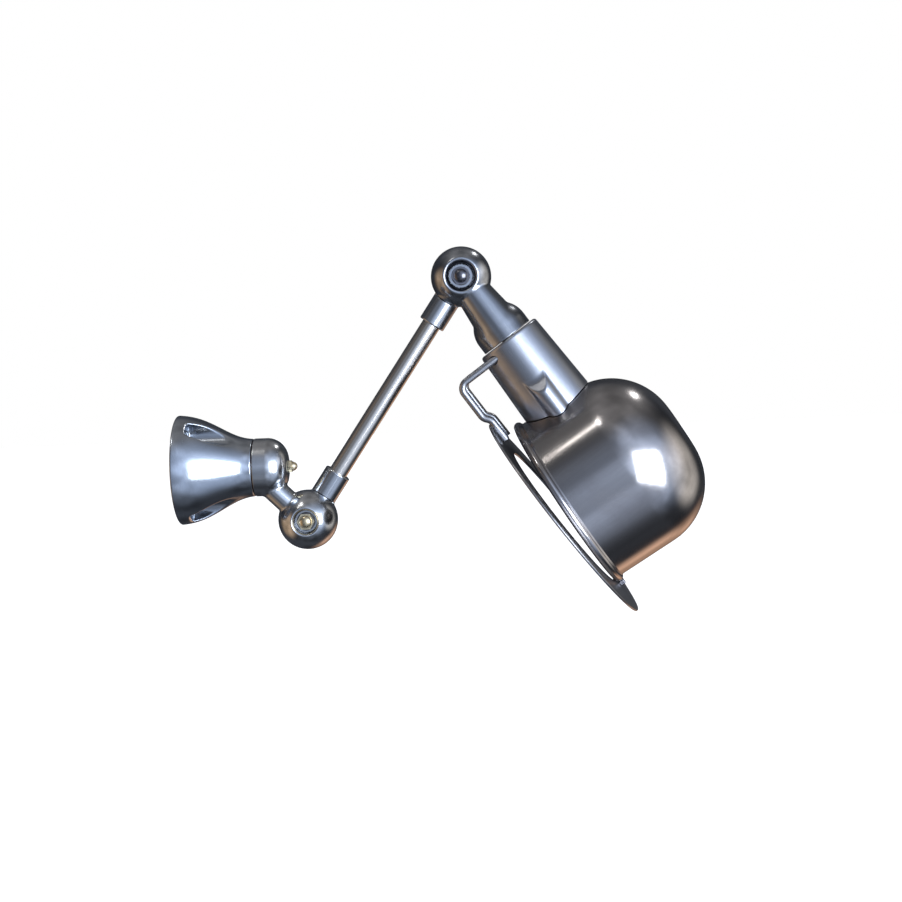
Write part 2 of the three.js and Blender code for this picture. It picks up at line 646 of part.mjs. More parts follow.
function frontRing(parent) {
  const half = RING_THICKNESS / 2;
  const options = { along: RING_AXIS, at: RING_CENTRE.toArray(), segments: FINE };
  const clipAt = { along: AXIS_Z, at: [237.3, 0, 0], segments: ROUGH };
  const clipHole = rod(-60, -30, 1.1, clipAt);
  const ring = turned(loop([
    [-half, RING_INNER], [-half, RING_OUTER - 0.5], [-0.3, RING_OUTER],
    [0.3, RING_OUTER], [half, RING_OUTER - 0.5], [half, RING_INNER],
  ]), options);
  mesh(parent, 'front_ring', cut(ring, clipHole), MATERIALS.bowlSteel);

  const clip = cut(box([235.5, 239.1], [-3.2, 3.2], [-41.9, -38]), clipHole);
  mesh(parent, 'ring_clip', clip, MATERIALS.darkChrome);
  const clipScrew = panScrew({
    seat: -44.4, headHeight: 1.2, headRadius: 2.2, tip: -38.4, radius: 0.8,
    along: clipAt.along, at: clipAt.at,
  });
  mesh(parent, 'ring_clip_screw', clipScrew, MATERIALS.screwSteel);
}

// A handle wire: out of the housing, round a bend, and down onto the front ring.
function handleWires(parent) {
  const bend = 6;
  const level = 59.5;
  const outside = -46.2;
  const onRing = -42.7;
  PAIR.forEach(({ side, name }) => {
    const point = (x, z) => new THREE.Vector3(x, side * WIRE_SPACING, z);
    const path = new THREE.CurvePath();
    path.add(new THREE.LineCurve3(point(level, -10), point(level, outside + bend)));
    path.add(new THREE.QuadraticBezierCurve3(
      point(level, outside + bend), point(level, outside), point(level + bend, outside)));
    path.add(new THREE.LineCurve3(point(level + bend, outside), point(83, outside)));
    path.add(new THREE.CubicBezierCurve3(
      point(83, outside), point(88, outside), point(88, onRing), point(94, onRing)));
    path.add(new THREE.LineCurve3(point(94, onRing), point(108, onRing + 0.3)));
    const section = new THREE.Shape();
    section.absarc(0, 0, WIRE_RADIUS, 0, 2 * Math.PI);
    const wire = new THREE.ExtrudeGeometry(section, {
      steps: 26, curveSegments: 4, bevelEnabled: false, extrudePath: path,
    });
    mesh(parent, `handle_wire_${name}`, solid(wire), MATERIALS.tubeSteel);
  });
}

function lampholder(parent) {
  const plateStart = HOUSING_LEDGE + GAP;
  const plateEnd = plateStart + 1.6;
  const plateHoles = [-1, 1].map((side) =>
    rod(60, 80, 1.7, { at: [0, 0, side * 18.4], segments: ROUGH }));
  const plate = cut(tube(plateStart, plateEnd, HOUSING_CAVITY - GAP, 5 + GAP,
    { segments: MEDIUM }), ...plateHoles);
  mesh(parent, 'holder_plate', plate, MATERIALS.screwSteel);
  [-1, 1].forEach((side, i) => {
    const screw = panScrew({
      seat: plateEnd + GAP, headHeight: 1.6, headRadius: 2.5, tip: 64, radius: 1.4,
      at: [0, 0, side * 18.4],
    });
    mesh(parent, `holder_plate_screw_${i + 1}`, screw, MATERIALS.screwSteel);
  });

  const capStart = plateEnd + GAP;
  const nutStart = plateStart - GAP - 2.6;
  mesh(parent, 'holder_nipple', tube(nutStart - 0.4, capStart + 3.4, 5, 3.6), MATERIALS.brass);
  mesh(parent, 'holder_nipple_nut',
    cut(hexagon(nutStart, plateStart - GAP, 7.6), rod(60, 80, 5 + GAP)), MATERIALS.brass);

  const skirtStart = 86.4;
  const cap = turned(loop([
    [capStart, 5 + GAP], [capStart, 12.5], [capStart + 1.5, 14], [skirtStart - GAP, 14],
    [skirtStart - GAP, 11.6], [capStart + 3, 11.6], [capStart + 3, 5 + GAP],
  ]), { segments: MEDIUM });
  mesh(parent, 'lampholder_cap', cap, MATERIALS.phenolic);

  const floor = 91;
  const skirtEnd = 119;
  const skirt = turned(loop([
    [skirtStart, 2.3], [skirtStart, 14], [skirtEnd - 1, 14], [skirtEnd, 13],
    [skirtEnd, 10], [skirtEnd - 2.5, 8.5], [floor, 8.5], [floor, 2.3],
  ]), { segments: MEDIUM });
  mesh(parent, 'lampholder_skirt', skirt, MATERIALS.phenolic);
  mesh(parent, 'shade_ring', tube(114, 117.4, 20, 14 + GAP, { segments: MEDIUM }),
    MATERIALS.phenolic);
  mesh(parent, 'centre_contact', turned([
    [84, 0], [84, 2], [floor + GAP, 2], [floor + GAP, 3.6], [floor + 1.4, 3.6], [floor + 1.4, 0],
  ]), MATERIALS.brass);
  mesh(parent, 'screw_shell', tube(floor + 2, 113, 8.1, 7.3), MATERIALS.brass);
}

function bulb(parent) {
  const tip = 92.8;
  const capStart = tip + 1.8;
  const capEnd = 113;
  mesh(parent, 'bulb_contact', turned([
    [tip, 0], [tip, 1.8], [tip + 0.8, 2.6], [capStart - GAP, 2.6], [capStart - GAP, 0],
  ]), MATERIALS.screwSteel);
  mesh(parent, 'bulb_cap', turned([
    [capStart, 0], [capStart, 4], [capStart + 2, 6.9], [capEnd, 6.9], [capEnd, 0],
  ]), MATERIALS.brass);

  const globe = 22.5;
  const centre = 148;
  const thickness = 0.8;
  const neckRadius = 7.2;
  const start = capEnd + GAP;
  const shoulder = 162;
  const outer = [[start, neckRadius], ...arc(centre, 0, globe, shoulder - 10, 0, 7)];
  const inner = [...arc(centre, 0, globe - thickness, 0, shoulder - 10, 7),
    [start, neckRadius - thickness]];
  mesh(parent, 'bulb_glass', turned(loop([...outer, ...inner])), MATERIALS.glass);
}

// --------------------------------------------------------------------- assembly

function group(parent, position, turnAboutX, turnAboutY) {
  const child = new THREE.Group();
  child.position.copy(position);
  child.rotation.set(turnAboutX, turnAboutY, 0);
  parent.add(child);
  return child;
}

const sconce = new THREE.Group();
wallBase(sconce);
swivel(sconce);
arm(group(sconce, LOWER_BALL, 0, -ARM_ANGLE));
const neckFrame = group(sconce, UPPER_BALL, 0, HEAD_ANGLE);
neck(neckFrame);
const headFrame = group(neckFrame, new THREE.Vector3(), HEAD_SET_TURN, 0);
housing(headFrame);
bowl(headFrame);
frontRing(headFrame);
handleWires(headFrame);
lampholder(headFrame);
bulb(headFrame);

export default sconce;
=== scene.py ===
"""A swing arm wall sconce in polished steel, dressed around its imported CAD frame.

Castings are worked out as blended solids and meshed finely, pressings and tubes are
turned, and fasteners, threads and wires are grown by Geometry Nodes trees. Sizes are
in millimetres in a part's own frame, and each frame's matrix takes them to metres.
"""

import json
import math

import bpy
import numpy as np
from mathutils import Matrix, Vector


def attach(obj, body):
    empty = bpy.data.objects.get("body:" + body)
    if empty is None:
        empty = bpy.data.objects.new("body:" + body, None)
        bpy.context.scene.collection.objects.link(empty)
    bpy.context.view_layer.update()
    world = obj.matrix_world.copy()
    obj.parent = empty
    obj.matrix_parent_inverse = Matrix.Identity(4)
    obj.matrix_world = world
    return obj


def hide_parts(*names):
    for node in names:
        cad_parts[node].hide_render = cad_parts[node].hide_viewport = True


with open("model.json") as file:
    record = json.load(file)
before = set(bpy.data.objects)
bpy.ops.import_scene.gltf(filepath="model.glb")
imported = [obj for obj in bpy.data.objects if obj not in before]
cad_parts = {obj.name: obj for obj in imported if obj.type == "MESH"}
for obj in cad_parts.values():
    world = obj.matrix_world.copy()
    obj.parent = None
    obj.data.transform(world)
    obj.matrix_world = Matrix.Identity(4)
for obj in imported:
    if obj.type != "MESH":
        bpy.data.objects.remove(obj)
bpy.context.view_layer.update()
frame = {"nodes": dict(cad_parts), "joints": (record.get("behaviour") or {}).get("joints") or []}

# ------------------------------------------------------------------------- sizes

MM = 0.001
GAP = 0.3

BASE_RADIUS, BASE_LENGTH, BASE_WALL, BASE_NECK = 38.4, 52.4, 2.8, 20.1
WEB_FACE = BASE_LENGTH - 4
CROWN_RADIUS, CROWN_CENTRE = 52, (-2.4, -13.6)
POCKET_RADIUS, POCKET_OFFSET, POCKET_FLOOR = 7.5, 31, 9
WALL_SCREW_OFFSET, BOSS_RADIUS, SCREW_HOLE = 30, 6.2, 2.4
POST_OFFSET, POST_RADIUS, POST_START, POST_END = 28, 3.4, 5.3, 23.5
POST_HOLE, STRAP_THICKNESS = 1.7, 1.5
LEAD_HOLE, LEAD_HOLE_OFFSET = 3.2, -10.5

CAP_START, CAP_END, CAP_RADIUS, CAP_CORNER, CAP_WALL = 52.8, 76, 20.3, 14.3, 3.5
BOLT_RADIUS, BOLT_BORE, BOLT_HEAD_RADIUS, BOLT_HEAD_HEIGHT = 2.5, 2.9, 4.7, 3.6
WASHER_THICKNESS, SWIVEL_WASHER, PIVOT_WASHER = 1.2, 6.5, 6.4

BALL_RADIUS, BALL_INSIDE, BOSS_SIZE, CAVITY_DEPTH = 20.9, 17.5, 9.3, 9.5
RECESS_FLOOR, HALF_SPLIT, LIMB_OFFSET = 12, 0.15, 4.5
PIVOT_RADIUS, PIVOT_BORE = 3, 3.3
STUB_RADIUS, STUB_BORE, STUB_END, STUB_ANGLE = 8.35, 4.8, 41, math.radians(135)

SLEEVE_RADIUS, SLEEVE_END, SOCKET_START, GRUB_PLACE = 9.35, 38.8, 22, 31
TUBE_RADIUS, TUBE_BORE = 6.6, 5.3

DOME_RADIUS, DOME_CENTRE, HEAD_SEAM = 19.2, 45.7, 52.9
CONE_FOOT, CONE_START, CONE_END, NECK_WEB = 8, 11.6, 16.7, 48.6
NIPPLE_BORE = 5 + GAP
HOUSING_TOP, HOUSING_RADIUS, HOUSING_TAPER, HOUSING_EDGE = 53.3, 23.3, 0.039, 1.6
HOUSING_LEDGE, HOUSING_CAVITY = 70, 21.2
RIB_RADIUS, RIB_OFFSET, RIB_LEVEL, RIB_TOP, RIB_SLOPE = 7.5, 22.5, -1.5, 81.5, 1.45

BOWL_RADIUS, BOWL_WALL, BOWL_DEPTH, BOWL_CORNER = 62.7, 1.3, 90.4, 47.5
BOWL_TILT, BOWL_RIM = math.radians(3.28), (169.6, 0, -32.4)
COPE_GAP = 0.4
BEAD_WIDTH, BEAD_REACH = 6, 3
RING_OUTER, RING_INNER, RING_THICKNESS = 82.6, 56, 1.6
RING_TILT, RING_CENTRE = math.radians(1.4), (175.9, 0, -44.6)

WIRE_RADIUS, WIRE_SPACING, WIRE_LEVEL = 2.5, 16.5, 59.5
CLIP_PLACE, CLIP_SCREW_SEAT, CLIP_HOLE = 237.3, -44.4, 1.1
BOWL_SCREW_OFFSET, BOWL_SCREW_HOLE = 25.5, 2.3
HOLDER_RADIUS = 14
HEAD_SET_TURN = math.radians(2.8)

# ------------------------------------------------------------------------ frames

joints = {joint["name"]: joint for joint in frame["joints"]}
lower_ball = Vector(joints["lower_elbow"]["pos_m"])
upper_ball = Vector(joints["upper_elbow"]["pos_m"])
ARM_LENGTH = (upper_ball - lower_ball).length / MM


def part_frame(origin, along):
    """Millimetres in a frame with X along a direction and Y kept, to metres."""
    x = Vector(along).normalized()
    y = Vector((0, 1, 0))
    turn = Matrix((x, y, x.cross(y))).transposed().to_4x4()
    return Matrix.Translation(origin) @ turn @ Matrix.Scale(MM, 4)


BASE_FRAME = part_frame((0, 0, 0), (1, 0, 0))
ARM_FRAME = part_frame(lower_ball, upper_ball - lower_ball)
NECK_FRAME = part_frame(upper_ball, joints["head_turn"]["axis"])
HEAD_FRAME = NECK_FRAME @ Matrix.Rotation(HEAD_SET_TURN, 4, "X")
LOWER_BALL = np.array(lower_ball) / MM
SIDES = {"left": -1, "right": 1}


def axis_frame(place, at, along):
    """A frame whose Z runs along a direction of another frame, for turned work."""
    turn = Vector(along).to_track_quat("Z", "Y").to_matrix().to_4x4()
    return place @ Matrix.Translation(at) @ turn


# ------------------------------------------------------- camera, light and stage

AIM = Vector((0.190, 0, 0.0065))
CAMERA_TURN, CAMERA_RISE, CAMERA_ROLL = map(math.radians, (1.66, 3.77, 2.24))
CAMERA_DISTANCE = 1.05
CAMERA_LENS = 60.1


def toward(turn, rise):
    """The direction from the object at an angle to the right and above the horizon."""
    return Vector((math.sin(turn) * math.cos(rise), -math.cos(turn) * math.cos(rise),
                   math.sin(rise)))


def make_camera():
    lens = bpy.data.cameras.new("camera")
    lens.lens = CAMERA_LENS
    lens.clip_start, lens.clip_end = 0.05, 50
    camera = bpy.data.objects.new("camera", lens)
    away = toward(CAMERA_TURN, CAMERA_RISE)
    camera.matrix_world = (
        Matrix.Translation(AIM + away * CAMERA_DISTANCE)
        @ away.to_track_quat("Z", "Y").to_matrix().to_4x4()
        @ Matrix.Rotation(-CAMERA_ROLL, 4, "Z")
    )
    bpy.context.scene.collection.objects.link(camera)
    bpy.context.scene.camera = camera


def soft_box(name, turn, rise, distance, size, radiance, colour, slide=0):
    """A rectangular lamp that looks at the object, given by how bright its face is."""
    away = toward(math.radians(turn), math.radians(rise))
    lamp = bpy.data.lights.new(name, "AREA")
    lamp.shape = "RECTANGLE"
    lamp.size, lamp.size_y = size
    lamp.color = colour
    lamp.energy = radiance * math.pi * size[0] * size[1]
    holder = bpy.data.objects.new(name, lamp)
    holder.matrix_world = (
        Matrix.Translation(AIM + away * distance)
        @ away.to_track_quat("Z", "Y").to_matrix().to_4x4()
        @ Matrix.Translation((slide, 0, 0))
    )
    bpy.context.scene.collection.objects.link(holder)


CEILING_LAMPS = [
    # name, turn and rise (degrees), distance, size, radiance, colour
    ("ceiling_strip", -52, 54, 1.5, (0.05, 0.62), 6.5, (1.0, 0.95, 0.88)),
    ("ceiling_lamp_front", -46, 58, 1.5, (0.05, 0.05), 90, (1.0, 0.98, 0.95)),
    ("ceiling_lamp_back", 138, 51, 1.5, (0.06, 0.06), 130, (1.0, 0.98, 0.95)),
]


def make_lights():
    """A window of three panes at the right, and the lamps of the ceiling."""
    daylight = (0.88, 0.94, 1.0)
    pane_width, bar = 0.30, 0.045
    for pane in (-1, 0, 1):
        soft_box(f"window_pane_{pane + 2}", 38, 3, 1.35, (pane_width, 0.92), 7.5,
                 daylight, slide=pane * (pane_width + bar))
    for lamp in CEILING_LAMPS:
        soft_box(*lamp)


ROOM_DARK = (0.05, 0.055, 0.065)
ROOM_GLOWS = [
    # turn, rise, spread (degrees), colour
    (38, 8, 68, (0.62, 0.75, 1.0)),
    (5, -8, 78, (0.17, 0.19, 0.23)),
    (0, 90, 60, (0.22, 0.21, 0.20)),
    (-82, -12, 46, (0.60, 0.40, 0.23)),
    (156, -34, 27, (0.85, 0.50, 0.31)),
    (98, 4, 40, (0.90, 0.84, 0.75)),
]


def make_surroundings():
    """White to the eye; to the metal a dim room with a few soft glows in it."""
    world = bpy.data.worlds.new("room")
    bpy.context.scene.world = world
    world.use_nodes = True
    tree = world.node_tree
    tree.nodes.clear()
    place = node(tree, "ShaderNodeTexCoord").outputs["Generated"]
    total = node(tree, "ShaderNodeCombineXYZ", dict(zip("XYZ", ROOM_DARK))).outputs[0]
    for turn, rise, spread, colour in ROOM_GLOWS:
        away = toward(math.radians(turn), math.radians(rise))
        nearness = node(tree, "ShaderNodeVectorMath", {0: place, 1: tuple(away)},
                        operation="DOT_PRODUCT").outputs["Value"]
        strength = node(tree, "ShaderNodeMapRange",
                        {"Value": nearness, "From Min": math.cos(math.radians(spread))},
                        interpolation_type="SMOOTHSTEP").outputs["Result"]
        glow = node(tree, "ShaderNodeVectorMath", {0: colour, "Scale": strength},
                    operation="SCALE").outputs[0]
        total = node(tree, "ShaderNodeVectorMath", {0: total, 1: glow}).outputs[0]
    blotches = noise(tree, place, 2.1, 3.0)
    uneven = node(tree, "ShaderNodeMapRange", {
        "Value": blotches, "From Min": 0.38, "From Max": 0.62, "To Min": 0.6, "To Max": 1.35,
    }).outputs["Result"]
    room = node(tree, "ShaderNodeBackground", {"Color": total, "Strength": uneven})
    white = node(tree, "ShaderNodeBackground", {"Color": (1, 1, 1, 1), "Strength": 1.0})
    seen = node(tree, "ShaderNodeLightPath").outputs["Is Camera Ray"]
    mixed = node(tree, "ShaderNodeMixShader",
                 {0: seen, 1: room.outputs[0], 2: white.outputs[0]})
    node(tree, "ShaderNodeOutputWorld", {"Surface": mixed.outputs[0]})


def make_floor():
    """A pale floor a little below the lamp."""
    drop, reach = -0.30, 6
    corners = [(-reach, -reach, drop), (reach, -reach, drop), (reach, reach, drop),
               (-reach, reach, drop)]
    floor = mesh_object("floor", corners, [(0, 1, 2, 3)])
    pale, tree, shader = new_material("pale_floor")
    speckle = node(tree, "ShaderNodeTexNoise", {"Scale": 3.0, "Detail": 2.0}).outputs["Fac"]
    shade = ramp(tree, speckle, [(0.0, (0.86, 0.86, 0.86)), (1.0, (0.9, 0.9, 0.9))])
    tree.links.new(shade, shader.inputs["Base Color"])
    shader.inputs["Roughness"].default_value = 0.9
    shader.inputs["Emission Color"].default_value = (1, 1, 1, 1)
    shader.inputs["Emission Strength"].default_value = 0.95
    floor.data.materials.append(pale)
    floor.visible_glossy = False
    floor.visible_diffuse = False


# ---------------------------------------------------------------- node shorthand


def node(tree, kind, inputs=None, **settings):
    """A node with its settings, and its inputs set or linked."""
    made = tree.nodes.new(kind)
    for key, value in settings.items():
        setattr(made, key, value)
    for key, value in (inputs or {}).items():
        if isinstance(value, bpy.types.NodeSocket):
            tree.links.new(value, made.inputs[key])
        else:
            made.inputs[key].default_value = value
    return made


def ramp(tree, factor, stops):
    """A colour ramp through (place, colour) stops."""
    made = node(tree, "ShaderNodeValToRGB", {"Fac": factor})
    elements = made.color_ramp.elements
    while len(elements) < len(stops):
        elements.new(0.5)
    for element, (place, colour) in zip(elements, stops):
        element.position = place
        element.color = (*colour, 1)
    return made.outputs["Color"]


def math_node(tree, operation, first, second=0.0):
    return node(tree, "ShaderNodeMath", {0: first, 1: second}, operation=operation).outputs[0]


def add_share(tree, base, value, share):
    """A base with a share of a value added to it."""
    return node(tree, "ShaderNodeMath", {0: value, 1: share, 2: base},
                operation="MULTIPLY_ADD").outputs[0]


def spread(tree, value, low, high):
    """A value stretched so that low becomes 0 and high becomes 1, and held between them."""
    return node(tree, "ShaderNodeMapRange",
                {"Value": value, "From Min": low, "From Max": high}).outputs["Result"]


def noise(tree, place, scale, detail, **more):
    """A cloudy pattern between 0 and 1."""
    return node(tree, "ShaderNodeTexNoise",
                {"Vector": place, "Scale": scale, "Detail": detail, **more}).outputs["Fac"]


def object_place(tree):
    return node(tree, "ShaderNodeTexCoord").outputs["Object"]


def mix_colour(tree, factor, first, second):
    made = node(tree, "ShaderNodeMix", {0: factor}, data_type="RGBA")
    for place, value in ((6, first), (7, second)):
        if isinstance(value, bpy.types.NodeSocket):
            tree.links.new(value, made.inputs[place])
        else:
            made.inputs[place].default_value = (*value, 1)
    return made.outputs[2]


def new_group(name, kind, inputs, outputs):
    """A node group with named sockets, and its input and output nodes."""
    group = bpy.data.node_groups.new(name, kind)
    for title, socket, value in inputs:
        made = group.interface.new_socket(name=title, in_out="INPUT", socket_type=socket)
        if value is not None:
            made.default_value = value
    for title, socket in outputs:
        group.interface.new_socket(name=title, in_out="OUTPUT", socket_type=socket)
    return group, group.nodes.new("NodeGroupInput").outputs, group.nodes.new("NodeGroupOutput")


def new_material(name):
    made = bpy.data.materials.new(name)
    made.use_nodes = True
    tree = made.node_tree
    return made, tree, tree.nodes["Principled BSDF"]


# ------------------------------------------------------------- finish node groups

FLOAT, VECTOR = "NodeSocketFloat", "NodeSocketVector"


def brushed_grain_group():
    """Long fine scratches that run one way, and a broader unevenness under them."""
    group, given, result = new_group("brushed_grain", "ShaderNodeTree", [
        ("Turn", VECTOR, (0, 0, 0)), ("Stretch", VECTOR, (1, 1, 1)), ("Scale", FLOAT, 900.0),
    ], [("Height", FLOAT), ("Tone", FLOAT)])
    place = object_place(group)
    turned = node(group, "ShaderNodeMapping", {"Vector": place, "Rotation": given["Turn"]},
                  vector_type="TEXTURE").outputs[0]
    drawn = node(group, "ShaderNodeVectorMath", {0: turned, 1: given["Stretch"]},
                 operation="MULTIPLY").outputs[0]
    fine = noise(group, drawn, given["Scale"], 4.0, Roughness=0.65)
    broad = noise(group, drawn, math_node(group, "MULTIPLY", given["Scale"], 0.13), 3.0)
    half = math_node(group, "MULTIPLY", broad, 0.5)
    total = math_node(group, "ADD", math_node(group, "MULTIPLY", fine, 0.5), half)
    group.links.new(total, result.inputs["Height"])
    group.links.new(spread(group, total, 0.36, 0.64), result.inputs["Tone"])
    return group


def tarnish_group():
    """Cloudy patches where the steel has dulled, with small spots among them."""
    group, given, result = new_group("tarnish", "ShaderNodeTree", [
        ("Scale", FLOAT, 40.0), ("Amount", FLOAT, 0.5),
    ], [("Mask", FLOAT)])
    place = object_place(group)
    cloud = noise(group, place, given["Scale"], 6.0, Roughness=0.6, Distortion=0.6)
    patches = spread(group, cloud, 0.42, 0.72)
    spot_scale = math_node(group, "MULTIPLY", given["Scale"], 16.0)
    spots = node(group, "ShaderNodeTexVoronoi",
                 {"Vector": place, "Scale": spot_scale}).outputs["Distance"]
    pits = spread(group, spots, 0.16, 0.05)
    both = math_node(group, "MAXIMUM", patches, math_node(group, "MULTIPLY", pits, patches))
    group.links.new(math_node(group, "MULTIPLY", both, given["Amount"]), result.inputs["Mask"])
    return group


def wear_and_corner_shade_group():
    """Where a convex edge has been rubbed bright, and painted shade that darkens the concave
    corners.
    """
    group, given, result = new_group("wear_and_corner_shade", "ShaderNodeTree", [
        ("Width", FLOAT, 0.06), ("Scale", FLOAT, 300.0),
    ], [("Bright", FLOAT), ("Corner Shade", FLOAT)])
    point = node(group, "ShaderNodeNewGeometry").outputs["Pointiness"]
    place = object_place(group)
    broken = noise(group, place, given["Scale"], 4.0)
    wobble = math_node(group, "MULTIPLY", math_node(group, "SUBTRACT", broken, 0.5), 0.02)
    uneven = math_node(group, "ADD", point, wobble)
    high = math_node(group, "ADD", given["Width"], 0.5)
    group.links.new(spread(group, uneven, 0.515, high), result.inputs["Bright"])
    # The second output is painted shade: it rises where the surface is concave.
    low = math_node(group, "SUBTRACT", 0.5, given["Width"])
    group.links.new(spread(group, uneven, 0.485, low), result.inputs["Corner Shade"])
    return group


def dust_group():
    """A thin settling of dust on what faces up."""
    group, given, result = new_group("dust", "ShaderNodeTree", [("Amount", FLOAT, 0.3)],
                                     [("Mask", FLOAT)])
    normal = node(group, "ShaderNodeNewGeometry").outputs["Normal"]
    up = node(group, "ShaderNodeSeparateXYZ", {"Vector": normal}).outputs["Z"]
    facing = spread(group, up, 0.45, 1.0)
    place = object_place(group)
    speck = spread(group, noise(group, place, 1400.0, 3.0), 0.45, 0.75)
    share = math_node(group, "MULTIPLY", facing, speck)
    group.links.new(math_node(group, "MULTIPLY", share, given["Amount"]), result.inputs["Mask"])
    return group


brushed_grain = brushed_grain_group()
tarnish = tarnish_group()
wear_and_corner_shade = wear_and_corner_shade_group()
dust = dust_group()

# --------------------------------------------------------------------- materials

ARM_TURN = math.atan2(-(upper_ball - lower_ball).z, (upper_ball - lower_ball).x)
HEAD_TURN = math.atan2(-joints["head_turn"]["axis"][2], joints["head_turn"]["axis"][0])


def worked_metal(name, colour, dull, roughness, turn=0.0, stretch=(0.06, 1, 1), scale=900.0,
                 scratch=0.03, patches=0.5, patch_scale=38.0, wear_and_shade=0.6, dust_amount=0.25):
    """A metal with drawn scratches, dull patches, bright worn edges, painted shade in concave
    corners and dust.
    """
    made, tree, shader = new_material(name)
    grain = node(tree, "ShaderNodeGroup", node_tree=brushed_grain)
    grain.inputs["Turn"].default_value = (0, turn, 0)
    grain.inputs["Stretch"].default_value = stretch
    grain.inputs["Scale"].default_value = scale
    cloud = node(tree, "ShaderNodeGroup", node_tree=tarnish)
    cloud.inputs["Scale"].default_value = patch_scale
    cloud.inputs["Amount"].default_value = patches
    edges = node(tree, "ShaderNodeGroup", node_tree=wear_and_corner_shade)
    settled = node(tree, "ShaderNodeGroup", node_tree=dust)
    settled.inputs["Amount"].default_value = dust_amount

    worn = math_node(tree, "MULTIPLY", edges.outputs["Bright"], wear_and_shade)
    # Painted shade in concave corners: the colour goes near black there and the roughness rises; the
    # same amount also sets the edge wear.
    shade_in_corners = math_node(tree, "MULTIPLY", edges.outputs["Corner Shade"], wear_and_shade)
    tone = mix_colour(tree, cloud.outputs["Mask"], colour, dull)
    streaked = mix_colour(tree, math_node(tree, "MULTIPLY", grain.outputs["Tone"], 0.16), tone,
                          tuple(0.6 * c for c in dull))
    rubbed = mix_colour(tree, worn, streaked, tuple(min(1.0, 1.3 * c) for c in colour))
    # painted shade: concave corners darkened to near black
    corners_shaded = mix_colour(tree, shade_in_corners, rubbed, (0.05, 0.042, 0.036))
    tree.links.new(corners_shaded, shader.inputs["Base Color"])

    rough = add_share(tree, roughness, grain.outputs["Tone"], 0.05)
    duller = add_share(tree, rough, cloud.outputs["Mask"], 0.14)
    dusty = add_share(tree, duller, settled.outputs["Mask"], 0.25)
    tree.links.new(add_share(tree, dusty, shade_in_corners, 0.3), shader.inputs["Roughness"])
    shader.inputs["Metallic"].default_value = 1.0

    bump = node(tree, "ShaderNodeBump", {
        "Height": grain.outputs["Height"], "Strength": scratch, "Distance": 0.0005,
    })
    tree.links.new(bump.outputs["Normal"], shader.inputs["Normal"])
    return made


def plain_stuff(name, colour, second, roughness, scale, bump_strength=0.15, **sockets):
    """A moulded, fired or pressed material with a fine mottle and a slight texture."""
    made, tree, shader = new_material(name)
    place = object_place(tree)
    mottle = noise(tree, place, scale, 5.0)
    settled = node(tree, "ShaderNodeGroup", node_tree=dust)
    shade = ramp(tree, mottle, [(0.35, colour), (0.65, second)])
    dusty = mix_colour(tree, settled.outputs["Mask"], shade, (0.45, 0.43, 0.4))
    tree.links.new(dusty, shader.inputs["Base Color"])
    tree.links.new(add_share(tree, roughness, mottle, 0.15), shader.inputs["Roughness"])
    bump = node(tree, "ShaderNodeBump",
                {"Height": mottle, "Strength": bump_strength, "Distance": 0.0002})
    tree.links.new(bump.outputs["Normal"], shader.inputs["Normal"])
    for socket, value in sockets.items():
        shader.inputs[socket.replace("_", " ")].default_value = value
    return made


def bulb_glass_material():
    """Thin frosted glass."""
    made, tree, shader = new_material("frosted_glass")
    place = object_place(tree)
    frost = noise(tree, place, 700.0, 4.0)
    tree.links.new(add_share(tree, 0.32, frost, 0.2), shader.inputs["Roughness"])
    tint = ramp(tree, frost, [(0.3, (0.93, 0.93, 0.91)), (0.7, (0.98, 0.98, 0.97))])
    tree.links.new(tint, shader.inputs["Base Color"])
    shader.inputs["Transmission Weight"].default_value = 0.85
    shader.inputs["IOR"].default_value = 1.5
    return made


